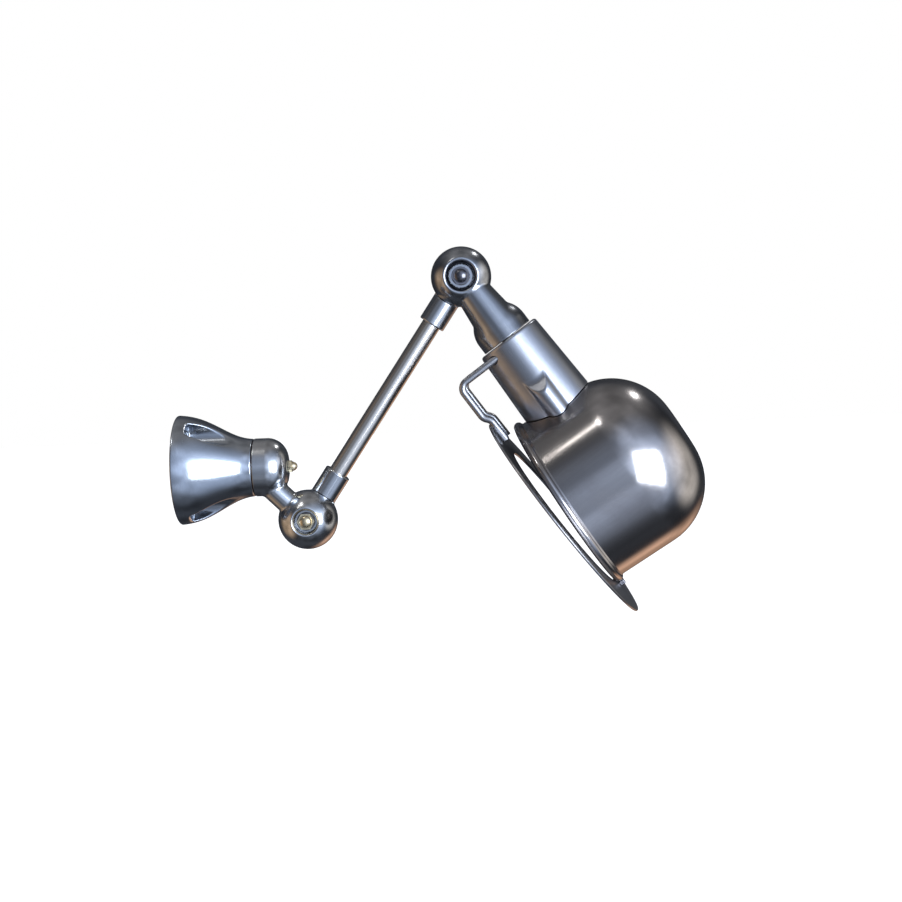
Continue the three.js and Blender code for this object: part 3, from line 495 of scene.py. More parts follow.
STEEL, STEEL_DULL = (0.60, 0.62, 0.65), (0.40, 0.41, 0.44)
CAST = {"roughness": 0.16, "scratch": 0.02, "patches": 0.55, "wear_and_shade": 0.35}
finishes = {
    "bell_steel": worked_metal("bell_steel", (0.52, 0.56, 0.62), (0.33, 0.36, 0.41),
                               stretch=(0.9, 0.25, 0.25), **CAST),
    "elbow_steel": worked_metal("elbow_steel", STEEL, STEEL_DULL, **CAST),
    "arm_steel": worked_metal("arm_steel", STEEL, STEEL_DULL, turn=ARM_TURN, **CAST),
    "neck_steel": worked_metal("neck_steel", (0.44, 0.46, 0.50), (0.27, 0.29, 0.33),
                               turn=HEAD_TURN, **CAST),
    "housing_steel": worked_metal("housing_steel", (0.46, 0.48, 0.53), (0.29, 0.31, 0.36),
                                  roughness=0.27, turn=HEAD_TURN, stretch=(0.05, 1, 1),
                                  scratch=0.08, patches=0.5),
    "drawn_tube": worked_metal("drawn_tube", (0.86, 0.81, 0.75), (0.60, 0.55, 0.50),
                               roughness=0.20, turn=ARM_TURN, stretch=(0.02, 1, 1),
                               scratch=0.012, patches=0.3, wear_and_shade=0.0, dust_amount=0.1),
    "spun_bowl": worked_metal("spun_bowl", (0.47, 0.455, 0.46), (0.31, 0.29, 0.295),
                              roughness=0.13, turn=HEAD_TURN, stretch=(1, 1, 0.05),
                              scratch=0.012, patches=0.5, patch_scale=26.0, wear_and_shade=0.0),
    "spun_ring": worked_metal("spun_ring", (0.42, 0.42, 0.44), (0.28, 0.27, 0.28),
                              roughness=0.27, turn=HEAD_TURN, stretch=(1, 1, 0.05),
                              scratch=0.01, patches=0.5, patch_scale=26.0, wear_and_shade=0.0),
    "wire_steel": worked_metal("wire_steel", (0.46, 0.47, 0.50), (0.3, 0.3, 0.32),
                               roughness=0.30, turn=HEAD_TURN, scratch=0.01, wear_and_shade=0.0,
                               dust_amount=0.1),
    "screw_metal": worked_metal("screw_metal", (0.56, 0.57, 0.59), (0.32, 0.32, 0.33),
                                roughness=0.28, patch_scale=120.0, scratch=0.06),
    "spring_metal": worked_metal("spring_metal", (0.13, 0.13, 0.14), (0.07, 0.07, 0.075),
                                 roughness=0.42, patch_scale=120.0),
    "dark_chrome": worked_metal("dark_chrome", (0.17, 0.17, 0.19), (0.09, 0.085, 0.09),
                                roughness=0.15, patch_scale=120.0, scratch=0.02),
    "old_brass": worked_metal("old_brass", (0.80, 0.68, 0.47), (0.50, 0.39, 0.24),
                              roughness=0.22, patch_scale=130.0, scratch=0.05),
    "pressed_fibre": plain_stuff("pressed_fibre", (0.13, 0.05, 0.026), (0.22, 0.09, 0.05),
                                 0.72, 900.0, 0.5),
    "black_phenolic": plain_stuff("black_phenolic", (0.012, 0.011, 0.01), (0.03, 0.026, 0.022),
                                  0.32, 420.0),
    "glazed_ceramic": plain_stuff("glazed_ceramic", (0.78, 0.75, 0.68), (0.86, 0.84, 0.79),
                                  0.2, 260.0, Coat_Weight=0.5),
    "black_rubber": plain_stuff("black_rubber", (0.012, 0.012, 0.012), (0.028, 0.027, 0.026),
                                0.62, 800.0, 0.4),
    "frosted_glass": bulb_glass_material(),
}

# --------------------------------------------------------------- making of pieces


def mesh_object(name, points, faces):
    made = bpy.data.meshes.new(name)
    made.from_pydata([tuple(p) for p in points], [], [tuple(f) for f in faces])
    made.update()
    piece = bpy.data.objects.new(name, made)
    bpy.context.scene.collection.objects.link(piece)
    return piece


def fit(piece, finish, slot, body, *nodes):
    """Gives a finished mesh its material, its body and the CAD nodes that it stands for."""
    piece.data.materials.clear()
    piece.data.materials.append(finishes[finish])
    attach(piece, body)
    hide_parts(*nodes)
    return piece


def baked(piece):
    """Applies a piece's modifiers, so that a plain mesh is left."""
    evaluated = piece.evaluated_get(bpy.context.evaluated_depsgraph_get())
    made = bpy.data.meshes.new_from_object(evaluated)
    if piece.type == "CURVE":
        name = piece.name
        bpy.data.objects.remove(piece)
        piece = bpy.data.objects.new(name, made)
        bpy.context.scene.collection.objects.link(piece)
    else:
        piece.modifiers.clear()
        piece.data = made
    return piece


def shade(piece, sharp=35):
    """Smooth faces, with the edges past an angle left sharp."""
    piece.data.shade_smooth()
    piece.data.set_sharp_from_angle(angle=math.radians(sharp))
    return piece


# ------------------------------------------------- blended solids, for the castings
# A solid is a function from points, in millimetres, to how far outside it they are.


def rod(start, end, radius, corner=0.0, along=(1, 0, 0), at=(0, 0, 0)):
    """A cylinder between two heights of an axis, with its end edges rounded."""
    axis, origin = np.array(along, float), np.array(at, float)
    axis = axis / np.linalg.norm(axis)
    middle, half = (start + end) / 2, (end - start) / 2

    def distance(points):
        offset = points - origin
        height = offset @ axis
        radial = np.linalg.norm(offset - height[:, None] * axis, axis=1)
        over_end = np.abs(height - middle) - half + corner
        over_side = radial - radius + corner
        outside = np.hypot(np.maximum(over_end, 0), np.maximum(over_side, 0))
        return outside + np.minimum(np.maximum(over_end, over_side), 0) - corner

    return distance


def ball(radius, at=(0, 0, 0)):
    return lambda points: np.linalg.norm(points - np.array(at, float), axis=1) - radius


def half_space(direction, level):
    """What lies below a level along a direction."""
    normal = np.array(direction, float)
    length = np.linalg.norm(normal)
    return lambda points: (points @ normal - level) / length


def cone(start, radius, slope, along=(1, 0, 0), at=(0, 0, 0)):
    """An endless cone whose radius grows by slope from a height of its axis."""
    axis, origin = np.array(along, float), np.array(at, float)

    def distance(points):
        offset = points - origin
        height = offset @ axis
        radial = np.linalg.norm(offset - height[:, None] * axis, axis=1)
        return (radial - radius - slope * (height - start)) / math.hypot(1, slope)

    return distance


def soft_lower(first, second, width):
    """The lower of two distances, with the change between them spread over a width."""
    if width <= 0:
        return np.minimum(first, second)
    share = np.maximum(width - np.abs(first - second), 0) / width
    return np.minimum(first, second) - share**2 * width / 4


def join(*solids, blend=0.0):
    def distance(points):
        total = solids[0](points)
        for solid in solids[1:]:
            total = soft_lower(total, solid(points), blend)
        return total

    return distance


def cut(body, *tools, blend=0.0):
    def distance(points):
        rest = body(points)
        for tool in tools:
            rest = -soft_lower(-rest, tool(points), blend)
        return rest

    return distance


def common(*solids, blend=0.0):
    def distance(points):
        total = solids[0](points)
        for solid in solids[1:]:
            total = -soft_lower(-total, -solid(points), blend)
        return total

    return distance


def slope_of(solid, points, reach=0.02):
    """The direction in which each point leaves the solid."""
    here = solid(points)
    steps = [solid(points + reach * step) - here for step in np.eye(3)]
    return here, np.stack(steps, axis=1) / reach


BLOCK = 6


def sampled(solid, low, high, grain):
    """The distance on a grid, worked out fully only in the blocks near the surface."""
    low = np.array(low, float)
    blocks = np.ceil((np.array(high) - low) / (grain * BLOCK)).astype(int)
    size = grain * BLOCK
    middles = low + (np.indices(blocks).reshape(3, -1).T + 0.5) * size - grain / 2
    rough = solid(middles).reshape(blocks)
    field, near = rough, np.abs(rough) < size * math.sqrt(3) / 2
    for axis in range(3):
        field = np.repeat(field, BLOCK, axis)
        near = np.repeat(near, BLOCK, axis)
    field[near] = solid(low + np.argwhere(near) * grain)
    return field


def surface_net(field):
    """One point for each grid cell that the surface crosses, and the quads between them."""
    cells = np.array(field.shape) - 1
    count = int(np.prod(cells))
    sums, number, quads = np.zeros((3, count)), np.zeros(count), []
    for axis in range(3):
        across, up = (axis + 1) % 3, (axis + 2) % 3
        lower = np.take(field, range(field.shape[axis] - 1), axis)
        upper = np.take(field, range(1, field.shape[axis]), axis)
        edges = np.argwhere((lower < 0) != (upper < 0))
        before, after = lower[tuple(edges.T)], upper[tuple(edges.T)]
        crossing = edges.astype(float)
        crossing[:, axis] += before / (before - after)
        around = []
        for step_across, step_up in ((1, 1), (0, 1), (0, 0), (1, 0)):
            cell = edges.copy()
            cell[:, across] -= step_across
            cell[:, up] -= step_up
            index = np.ravel_multi_index(tuple(cell.T), tuple(cells))
            around.append(index)
            number += np.bincount(index, minlength=count)
            for k in range(3):
                sums[k] += np.bincount(index, crossing[:, k], minlength=count)
        quad = np.stack(around, axis=1)
        quads.append(np.where((before < 0)[:, None], quad, quad[:, ::-1]))
    used = np.flatnonzero(number)
    order = np.full(count, -1)
    order[used] = np.arange(len(used))
    return (sums[:, used] / number[used]).T, order[np.concatenate(quads)]


def cast(name, solid, low, high, grain, place, mirror=None):
    """Meshes a solid, draws each point on to the true surface and keeps its true normal."""
    points, quads = surface_net(sampled(solid, low, high, grain))
    points = np.array(low, float) + points * grain
    for _ in range(4):
        here, slope = slope_of(solid, points)
        step = here / np.maximum((slope**2).sum(axis=1), 0.05)
        points -= np.clip(step, -grain, grain)[:, None] * slope
    normals = slope_of(solid, points)[1]
    if mirror is not None:
        points, normals = points @ mirror[0] + mirror[1], normals @ mirror[0]
        quads = quads[:, ::-1]
    turn = np.array(place)
    world = points @ turn[:3, :3].T + turn[:3, 3]
    facing = normals @ turn[:3, :3].T
    facing /= np.maximum(np.linalg.norm(facing, axis=1, keepdims=True), 1e-12)
    piece = mesh_object(name, world.tolist(), quads.tolist())
    piece.data.shade_smooth()
    piece.data.normals_split_custom_set_from_vertices(facing.tolist())
    return piece


# ------------------------------------------------------------------ turned pieces


def arc(height, radius, size, start, end, steps):
    """Points of an arc in an outline of (height, radius), 0 degrees along the height."""
    angles = np.radians(np.linspace(start, end, steps + 1))
    return [(height + size * math.cos(a), radius + size * math.sin(a)) for a in angles]


def eased(outline, size, steps=4, closed=True):
    """An outline with its corners rounded, so that every edge catches the light."""
    points = [Vector(p) for p in outline]
    last = len(points) if closed else len(points) - 1
    result = [] if closed else [tuple(points[0])]
    for i in range(0 if closed else 1, last):
        before, here, after = points[i - 1], points[i], points[(i + 1) % len(points)]
        reach = min(size, (before - here).length * 0.45, (after - here).length * 0.45)
        start = here + (before - here).normalized() * reach
        end = here + (after - here).normalized() * reach
        for k in range(steps + 1):
            t = k / steps
            result.append(tuple(start * (1 - t) ** 2 + here * 2 * t * (1 - t) + end * t**2))
    return result if closed else result + [tuple(points[-1])]


def turned(name, outline, place, along=(1, 0, 0), at=(0, 0, 0), steps=160, closed=False,
           sharp=35):
    """Revolves an outline of (height, radius) round an axis. It runs from axis to axis, or
    closes on itself."""
    angles = np.linspace(0, 2 * math.pi, steps, endpoint=False)
    points, rows = [], []
    for height, radius in outline:
        if radius < 1e-6:
            rows.append([len(points)] * steps)
            points.append((0, 0, height))
        else:
            rows.append(list(range(len(points), len(points) + steps)))
            points += [(radius * math.cos(a), radius * math.sin(a), height) for a in angles]
    pairs = list(zip(rows, rows[1:])) + ([(rows[-1], rows[0])] if closed else [])
    faces = []
    for first, second in pairs:
        for i in range(steps):
            j = (i + 1) % steps
            face = [first[i], first[j], second[j], second[i]]
            faces.append([f for k, f in enumerate(face) if f != face[k - 1]])
    faces = [face for face in faces if len(face) > 2]
    piece = mesh_object(name, points, outward(points, faces))
    piece.data.transform(axis_frame(place, at, along))
    return shade(piece, sharp)


def band(start, end, inner, outer):
    """The outline of a washer or a ring."""
    return [(start, inner), (start, outer), (end, outer), (end, inner)]


def outward(points, faces):
    """Turns every face over if the closed shape's volume comes out negative."""
    p = np.array(points)
    volume = sum(np.dot(p[f[0]], np.cross(p[f[k]], p[f[k + 1]]))
                 for f in faces for k in range(1, len(f) - 1))
    return faces if volume > 0 else [face[::-1] for face in faces]


# ------------------------------------------------------------- trees that grow pieces


def grower(name, inputs):
    """A Geometry Nodes tree with named sizes, and the nodes of its input and output."""
    return new_group(name, "GeometryNodeTree", inputs, [("Geometry", "NodeSocketGeometry")])


def finish_tree(tree, result, shape, smooth=True):
    """Ends a tree: smooth shading, instances made real, and the material set."""
    material = next(s for s in tree.nodes if s.bl_idname == "NodeGroupInput").outputs["Finish"]
    if smooth:
        shape = node(tree, "GeometryNodeSetShadeSmooth", {0: shape}).outputs[0]
    real = node(tree, "GeometryNodeRealizeInstances", {0: shape}).outputs[0]
    painted = node(tree, "GeometryNodeSetMaterial", {"Geometry": real, "Material": material})
    tree.links.new(painted.outputs[0], result.inputs[0])
    return tree


def offset_node(tree, x=0.0, y=0.0, z=0.0):
    return node(tree, "ShaderNodeCombineXYZ", {"X": x, "Y": y, "Z": z}).outputs[0]


def moved(tree, shape, translation, scale=None):
    inputs = {"Geometry": shape, "Translation": translation}
    if scale is not None:
        inputs["Scale"] = scale
    return node(tree, "GeometryNodeTransform", inputs).outputs[0]


def lifted(tree, shape, height):
    return moved(tree, shape, offset_node(tree, z=height))


def boolean(tree, operation, first, second):
    made = node(tree, "GeometryNodeMeshBoolean", operation=operation, solver="EXACT")
    if operation == "DIFFERENCE":
        tree.links.new(first, made.inputs[0])
    else:
        tree.links.new(first, made.inputs[1])
    tree.links.new(second, made.inputs[1])
    return made.outputs[0]


FINISH = ("Finish", "NodeSocketMaterial", None)


def acorn_nut_tree():
    """A hexagon with its corners taken off by a ball, under a round dome."""
    tree, given, result = grower("acorn_nut", [
        FINISH, ("Across", FLOAT, 8.0), ("Hex Height", FLOAT, 2.2), ("Height", FLOAT, 6.0),
    ])
    corner = math_node(tree, "DIVIDE", given["Across"], math.sqrt(3))
    half = math_node(tree, "MULTIPLY", given["Hex Height"], 0.5)
    prism = node(tree, "GeometryNodeMeshCylinder",
                 {"Vertices": 6, "Radius": corner, "Depth": given["Hex Height"]}).outputs[0]
    standing = lifted(tree, prism, half)
    trim_radius = math_node(tree, "MULTIPLY", given["Across"], 0.60)
    trim = node(tree, "GeometryNodeMeshUVSphere",
                {"Segments": 72, "Rings": 48, "Radius": trim_radius}).outputs[0]
    trim_low = lifted(tree, trim, math_node(tree, "MULTIPLY", half, 0.9))
    eased_hex = boolean(tree, "INTERSECT", standing, trim_low)
    dome_radius = math_node(tree, "MULTIPLY", given["Across"], 0.42)
    rise = math_node(tree, "SUBTRACT", given["Height"], given["Hex Height"])
    globe = node(tree, "GeometryNodeMeshUVSphere",
                 {"Segments": 72, "Rings": 48, "Radius": dome_radius}).outputs[0]
    squeeze = math_node(tree, "DIVIDE", rise, dome_radius)
    stretch = offset_node(tree, 1.0, 1.0, squeeze)
    cap = moved(tree, globe, offset_node(tree, z=given["Hex Height"]), stretch)
    whole = boolean(tree, "UNION", eased_hex, cap)
    return finish_tree(tree, result, whole, smooth=False)


def slotted_head_tree():
    """A round screw head: a disc rounded over by a large ball, with a slot across it."""
    tree, given, result = grower("slotted_head", [
        FINISH, ("Radius", FLOAT, 3.0), ("Height", FLOAT, 2.0), ("Slot Width", FLOAT, 0.9),
        ("Slot Depth", FLOAT, 0.9),
    ])
    disc = node(tree, "GeometryNodeMeshCylinder", {
        "Vertices": 72, "Radius": given["Radius"], "Depth": given["Height"]}).outputs[0]
    half = math_node(tree, "MULTIPLY", given["Height"], 0.5)
    standing = lifted(tree, disc, half)
    size = math_node(tree, "MULTIPLY", given["Radius"], 1.25)
    globe = node(tree, "GeometryNodeMeshUVSphere",
                 {"Segments": 96, "Rings": 64, "Radius": size}).outputs[0]
    sunk = math_node(tree, "SUBTRACT", given["Height"], size)
    rounded = boolean(tree, "INTERSECT", standing, lifted(tree, globe, sunk))
    wide = math_node(tree, "MULTIPLY", given["Radius"], 3.0)
    deep = math_node(tree, "MULTIPLY", given["Slot Depth"], 2.0)
    bar = node(tree, "GeometryNodeMeshCube",
               {"Size": offset_node(tree, wide, given["Slot Width"], deep)}).outputs[0]
    slotted = boolean(tree, "DIFFERENCE", rounded,
                      lifted(tree, bar, given["Height"]))
    return finish_tree(tree, result, slotted, smooth=False)


def thread_tree():
    """A shank with a helical ridge wound along it."""
    tree, given, result = grower("thread", [
        FINISH, ("Radius", FLOAT, 2.0), ("Length", FLOAT, 10.0), ("Pitch", FLOAT, 0.8),
        ("Ridge", FLOAT, 0.3),
    ])
    core = math_node(tree, "SUBTRACT", given["Radius"], given["Ridge"])
    shank = node(tree, "GeometryNodeMeshCylinder",
                 {"Vertices": 48, "Radius": core, "Depth": given["Length"]}).outputs[0]
    half = math_node(tree, "MULTIPLY", given["Length"], 0.5)
    standing = lifted(tree, shank, half)
    wound = math_node(tree, "SUBTRACT", given["Length"], given["Pitch"])
    turns = math_node(tree, "DIVIDE", wound, given["Pitch"])
    helix = node(tree, "GeometryNodeCurveSpiral", {
        "Resolution": 36, "Rotations": turns, "Start Radius": core, "End Radius": core,
        "Height": wound,
    }).outputs[0]
    start = math_node(tree, "MULTIPLY", given["Pitch"], 0.5)
    raised = lifted(tree, helix, start)
    section = node(tree, "GeometryNodeCurvePrimitiveCircle",
                   {"Resolution": 6, "Radius": given["Ridge"]}).outputs[0]
    ridge = node(tree, "GeometryNodeCurveToMesh",
                 {"Curve": raised, "Profile Curve": section, "Fill Caps": True}).outputs[0]
    both = node(tree, "GeometryNodeJoinGeometry")
    tree.links.new(standing, both.inputs[0])
    tree.links.new(ridge, both.inputs[0])
    return finish_tree(tree, result, both.outputs[0])


def bent_wire_tree():
    """A round wire along the carrier's line, with its corners bent to a radius."""
    tree, given, result = grower("bent_wire", [
        ("Line", "NodeSocketGeometry", None), FINISH, ("Radius", FLOAT, 2.0),
        ("Bend", FLOAT, 6.0),
    ])
    bent = node(tree, "GeometryNodeFilletCurve",
                {"Curve": given["Line"], "Radius": given["Bend"], "Limit Radius": True})
    if "Mode" in bent.inputs:
        bent.inputs["Mode"].default_value = "Poly"
    else:
        bent.mode = "POLY"
    bent.inputs["Count"].default_value = 14
    section = node(tree, "GeometryNodeCurvePrimitiveCircle",
                   {"Resolution": 28, "Radius": given["Radius"]}).outputs[0]
    wire = node(tree, "GeometryNodeCurveToMesh",
                {"Curve": bent.outputs[0], "Profile Curve": section, "Fill Caps": True})
    return finish_tree(tree, result, wire.outputs[0])


acorn_nut = acorn_nut_tree()
slotted_head = slotted_head_tree()
thread = thread_tree()
bent_wire = bent_wire_tree()


def grown(name, tree, place, finish, sizes, line=None):
    """Grows a piece from a tree with named sizes, as a plain mesh in its place."""
    if line is None:
        carrier = bpy.data.objects.new(name, bpy.data.meshes.new(name))
    else:
        route = bpy.data.curves.new(name, "CURVE")
        route.dimensions = "3D"
        spline = route.splines.new("POLY")
        spline.points.add(len(line) - 1)
        for point, corner in zip(spline.points, line):
            point.co = (*corner, 1)
        carrier = bpy.data.objects.new(name, route)
    bpy.context.scene.collection.objects.link(carrier)
    modifier = carrier.modifiers.new("grow", "NODES")
    modifier.node_group = tree
    values = {**sizes, "Finish": finishes[finish]}
    for socket in tree.interface.items_tree:
        if socket.in_out == "INPUT" and socket.name in values:
            modifier[socket.identifier] = values[socket.name]
    piece = baked(carrier)
    piece.data.transform(place)
    return shade(piece, 32)


def merged(name, *pieces):
    """Several finished meshes as one piece."""
    points, faces = [], []
    for piece in pieces:
        start = len(points)
        points += [tuple(v.co) for v in piece.data.vertices]
        faces += [[start + i for i in f.vertices] for f in piece.data.polygons]
        bpy.data.objects.remove(piece)
    return shade(mesh_object(name, points, faces), 32)


def slotted_screw(name, node_name, body, place, at, out, head, shank, sunk=0.0):
    """A slotted head that faces out, and a threaded shank that may start inside the head."""
    top = grown("head", slotted_head, axis_frame(place, at, out), "screw_metal", head)
    start = [a + sunk * o for a, o in zip(at, out)]
    stem = grown("shank", thread, axis_frame(place, start, [-o for o in out]), "screw_metal",
                 shank)
    fit(merged(name, top, stem), "screw_metal", "screw_steel", body, node_name)


# ----------------------------------------------------------------------- wall base

POCKETS = [(math.cos(math.radians(a)), math.sin(math.radians(a))) for a in (5, 125, 245)]


def bell_solid():
    """A deep bell: crown and neck in one line, three pockets, hollow behind."""
    crown_height, crown_radius = CROWN_CENTRE

    def crown(points):
        radial = np.hypot(points[:, 1], points[:, 2])
        return np.hypot(points[:, 0] - crown_height, radial - crown_radius) - CROWN_RADIUS

    line = join(crown, rod(-80, 80, BASE_NECK), blend=14)
    outer = common(line, rod(0, BASE_LENGTH, 60), blend=1.2)
    inner = common(lambda points: line(points) + BASE_WALL, rod(-20, WEB_FACE, 60), blend=1.5)

    def at(offset, pocket):
        return (0, offset * pocket[0], offset * pocket[1])

    linings = [rod(POCKET_FLOOR - BASE_WALL, 90, POCKET_RADIUS + BASE_WALL, 1,
                   at=at(POCKET_OFFSET, q)) for q in POCKETS]
    bosses = [rod(-30, POCKET_FLOOR, BOSS_RADIUS, at=at(WALL_SCREW_OFFSET, q)) for q in POCKETS]
    posts = [rod(POST_START, POST_END + 2, POST_RADIUS, 0.4, at=(0, 0, s * POST_OFFSET))
             for s in (-1, 1)]
    hollow = cut(inner, *linings, *posts, blend=1.2)
    hollow = cut(hollow, *[common(boss, half_space((-1, 0, 0), 0)) for boss in bosses], blend=0.8)
    pockets = [rod(POCKET_FLOOR, 90, POCKET_RADIUS, 1.2, at=at(POCKET_OFFSET, q))
               for q in POCKETS]
    holes = [rod(-5, 14, SCREW_HOLE, at=at(WALL_SCREW_OFFSET, q)) for q in POCKETS]
    post_holes = [rod(POST_START - 1, 16, POST_HOLE, at=(0, 0, s * POST_OFFSET)) for s in (-1, 1)]
    bore = rod(WEB_FACE - 2, BASE_LENGTH + 2, BOLT_BORE)
    lead_hole = rod(WEB_FACE - 2, BASE_LENGTH + 2, LEAD_HOLE, at=(0, 0, LEAD_HOLE_OFFSET))
    shell = cut(outer, hollow, blend=0.6)
    return cut(cut(shell, *pockets, blend=1.6), *holes, *post_holes, bore, lead_hole, blend=0.3)


def make_base():
    reach = BASE_RADIUS + 1
    bell = cast("bell_base", bell_solid(), (-1.2, -reach, -reach), (BASE_LENGTH + 1.2, reach, reach),
                0.62, BASE_FRAME)
    fit(bell, "bell_steel", "cast_steel", "wall_base", "bell_base")
    make_swivel_bolt()
    make_strap_screws()


def make_swivel_bolt():
    """The bolt down the base's axis, its spring washer and its acorn nut."""
    washer_end = WEB_FACE - GAP
    head_end = washer_end - WASHER_THICKNESS - GAP
    head_start = head_end - BOLT_HEAD_HEIGHT
    hex_head = turned("bolt_head", eased([(head_start, 0), (head_start, BOLT_HEAD_RADIUS),
                                          (head_end, BOLT_HEAD_RADIUS), (head_end, 0)], 0.4,
                                         closed=False), BASE_FRAME, steps=6, sharp=20)
    shank = grown("bolt_shank", thread, axis_frame(BASE_FRAME, (head_end, 0, 0), (1, 0, 0)),
                  "screw_metal", {"Radius": BOLT_RADIUS, "Length": CAP_END + 3 - head_end,
                                  "Pitch": 0.8, "Ridge": 0.25})
    fit(merged("swivel_bolt_threaded", hex_head, shank), "screw_metal", "screw_steel",
        "wall_base", "swivel_bolt")
    section = band(washer_end - WASHER_THICKNESS, washer_end, BOLT_BORE, SWIVEL_WASHER)
    washer = turned("swivel_washer_sprung", eased(section, 0.3), BASE_FRAME, closed=True)
    fit(washer, "spring_metal", "screw_steel", "wall_base", "swivel_spring_washer")
    nut = grown("swivel_acorn", acorn_nut, axis_frame(BASE_FRAME, (CAP_END + GAP, 0, 0), (1, 0, 0)),
                "old_brass", {"Across": 8.0, "Hex Height": 2.2, "Height": 6.0})
    fit(nut, "old_brass", "brass", "wall_base", "swivel_acorn_nut")


def make_strap_screws():
    """The two screws that hold the terminal strap, seen from the wall side."""
    seat = POST_START - STRAP_THICKNESS - 2 * GAP
    for number, side in enumerate((-1, 1), 1):
        slotted_screw(f"strap_screw_threaded_{number}", f"strap_screw_{number}", "wall_base",
                      BASE_FRAME, (seat, 0, side * POST_OFFSET), (-1, 0, 0),
                      {"Radius": 2.8, "Height": 1.6, "Slot Width": 0.8, "Slot Depth": 0.7},
                      {"Radius": 1.4, "Length": 11.0, "Pitch": 0.6, "Ridge": 0.2})


# --------------------------------------------------------------- elbows and castings


def half_ball_tools(side, at, recess, mouth, soft=0.5):
    """The wire space, the pivot bore and the bevelled recess of a half ball."""
    along = np.array((0, side, 0), float)
    space = common(ball(BALL_INSIDE, at), rod(-1, CAVITY_DEPTH, 40, along=along, at=at), blend=1)
    wire_space = cut(space, rod(-5, 30, BOSS_SIZE, along=along, at=at), blend=0.6)
    mouth_height = math.sqrt(BALL_RADIUS**2 - mouth**2)
    floor = join(rod(RECESS_FLOOR, 60, recess, along=along, at=at),
                 cone(mouth_height, mouth, 1.0, along=along, at=at), blend=soft)
    recess_cut = common(floor, half_space(-along, -(along @ np.array(at) + RECESS_FLOOR)),
                        rod(RECESS_FLOOR, 60, mouth + 4, along=along, at=at))
    bore = rod(-5, 30, PIVOT_BORE, along=along, at=at)
    boss_face = rod(-5, 1.2, BOSS_SIZE + 0.2, along=along, at=at)
    return wire_space, recess_cut, bore, boss_face


def half_ball(side, at):
    return common(ball(BALL_RADIUS, at), half_space((0, -side, 0), -HALF_SPLIT), blend=0.5)


def other_half_room(side, at):
    """What the other half ball turns in, beyond the split."""
    return common(ball(BALL_RADIUS + GAP, at), half_space((0, side, 0), HALF_SPLIT))


def elbow_solid():
    """The swivel cap, the slanting stub and the front half of the lower ball in one."""
    cap = common(rod(CAP_END - 60, CAP_END, CAP_RADIUS, CAP_CORNER),
                 half_space((-1, 0, 0), -CAP_START), blend=0.8)
    slant = (math.cos(STUB_ANGLE), 0, math.sin(STUB_ANGLE))
    foot = (LOWER_BALL[0], -LIMB_OFFSET, LOWER_BALL[2])
    stub = rod(6, STUB_END, STUB_RADIUS, along=slant, at=foot)
    body = join(join(cap, stub, blend=1.8), half_ball(-1, LOWER_BALL), blend=1.2)
    inside = common(rod(CAP_END - 60, CAP_END - CAP_WALL, CAP_RADIUS - CAP_WALL,
                        CAP_CORNER - CAP_WALL), half_space((-1, 0, 0), -CAP_START + 3))
    washer_room = rod(CAP_START - 3, BASE_LENGTH + 2 * GAP + 1, 19.2)
    stub_bore = rod(15, 40, STUB_BORE, along=slant, at=foot)
    bolt_bore = rod(CAP_END - 8, CAP_END + 4, BOLT_BORE)
    tools = half_ball_tools(-1, LOWER_BALL, 8, 9.6)
    hollowed = cut(body, inside, washer_room, stub_bore, bolt_bore, *tools, blend=0.5)
    return common(cut(hollowed, other_half_room(-1, LOWER_BALL), blend=0.3),
                  half_space((-1, 0, 0), -CAP_START), blend=0.3)


def arm_end_solid():
    """The rear half ball and the sleeve that holds the tube."""
    limb = (0, LIMB_OFFSET, 0)
    origin = (0, 0, 0)
    sleeve = rod(6, SLEEVE_END, SLEEVE_RADIUS, 0.9, at=limb)
    body = join(half_ball(1, origin), sleeve, blend=1.2)
    lead_way = rod(15, SLEEVE_END + 3, 4.5, at=limb)
    socket = rod(SOCKET_START, SLEEVE_END + 3, TUBE_RADIUS + GAP, at=limb)
    grub_hole = rod(LIMB_OFFSET + 4, 30, 2, along=(0, 1, 0), at=(GRUB_PLACE, 0, 0))
    tools = half_ball_tools(1, origin, 8, 9.6)
    return cut(cut(body, lead_way, socket, grub_hole, *tools, blend=0.5),
               other_half_room(1, origin), blend=0.3)


def neck_solid():
    """The front half of the upper ball, a cone, and the dome that the head turns on."""
    origin = (0, 0, 0)
    limb = (0, -LIMB_OFFSET, 0)
    taper = (CONE_END - CONE_START) / (HEAD_SEAM - CONE_FOOT)
    sides = common(cone(CONE_FOOT, CONE_START, taper, at=limb), half_space((-1, 0, 0), -6))
    dome = join(ball(DOME_RADIUS, (DOME_CENTRE, 0, 0)), rod(DOME_CENTRE, 60, DOME_RADIUS))
    lower = common(join(sides, dome, blend=1.2), half_space((1, 0, 0), HEAD_SEAM), blend=0.6)
    body = join(lower, half_ball(-1, origin), blend=1.2)
    inside = common(ball(DOME_RADIUS - 3.5, (DOME_CENTRE + 1, 0, 0)),
                    half_space((1, 0, 0), NECK_WEB))
    wire_way = rod(15, DOME_CENTRE, 8.4, at=limb)
    nipple_bore = rod(NECK_WEB - 2, HEAD_SEAM + 2, NIPPLE_BORE)
    washer_seat = rod(HEAD_SEAM - 1, HEAD_SEAM + 2, 15)
    wire_space, recess, *bores = half_ball_tools(-1, origin, 8.2, 11.4, soft=3)
    body = cut(body, recess, blend=1.6)
    return cut(cut(body, inside, wire_way, nipple_bore, washer_seat, wire_space, *bores,
                   blend=0.5), other_half_room(-1, origin), blend=0.3)


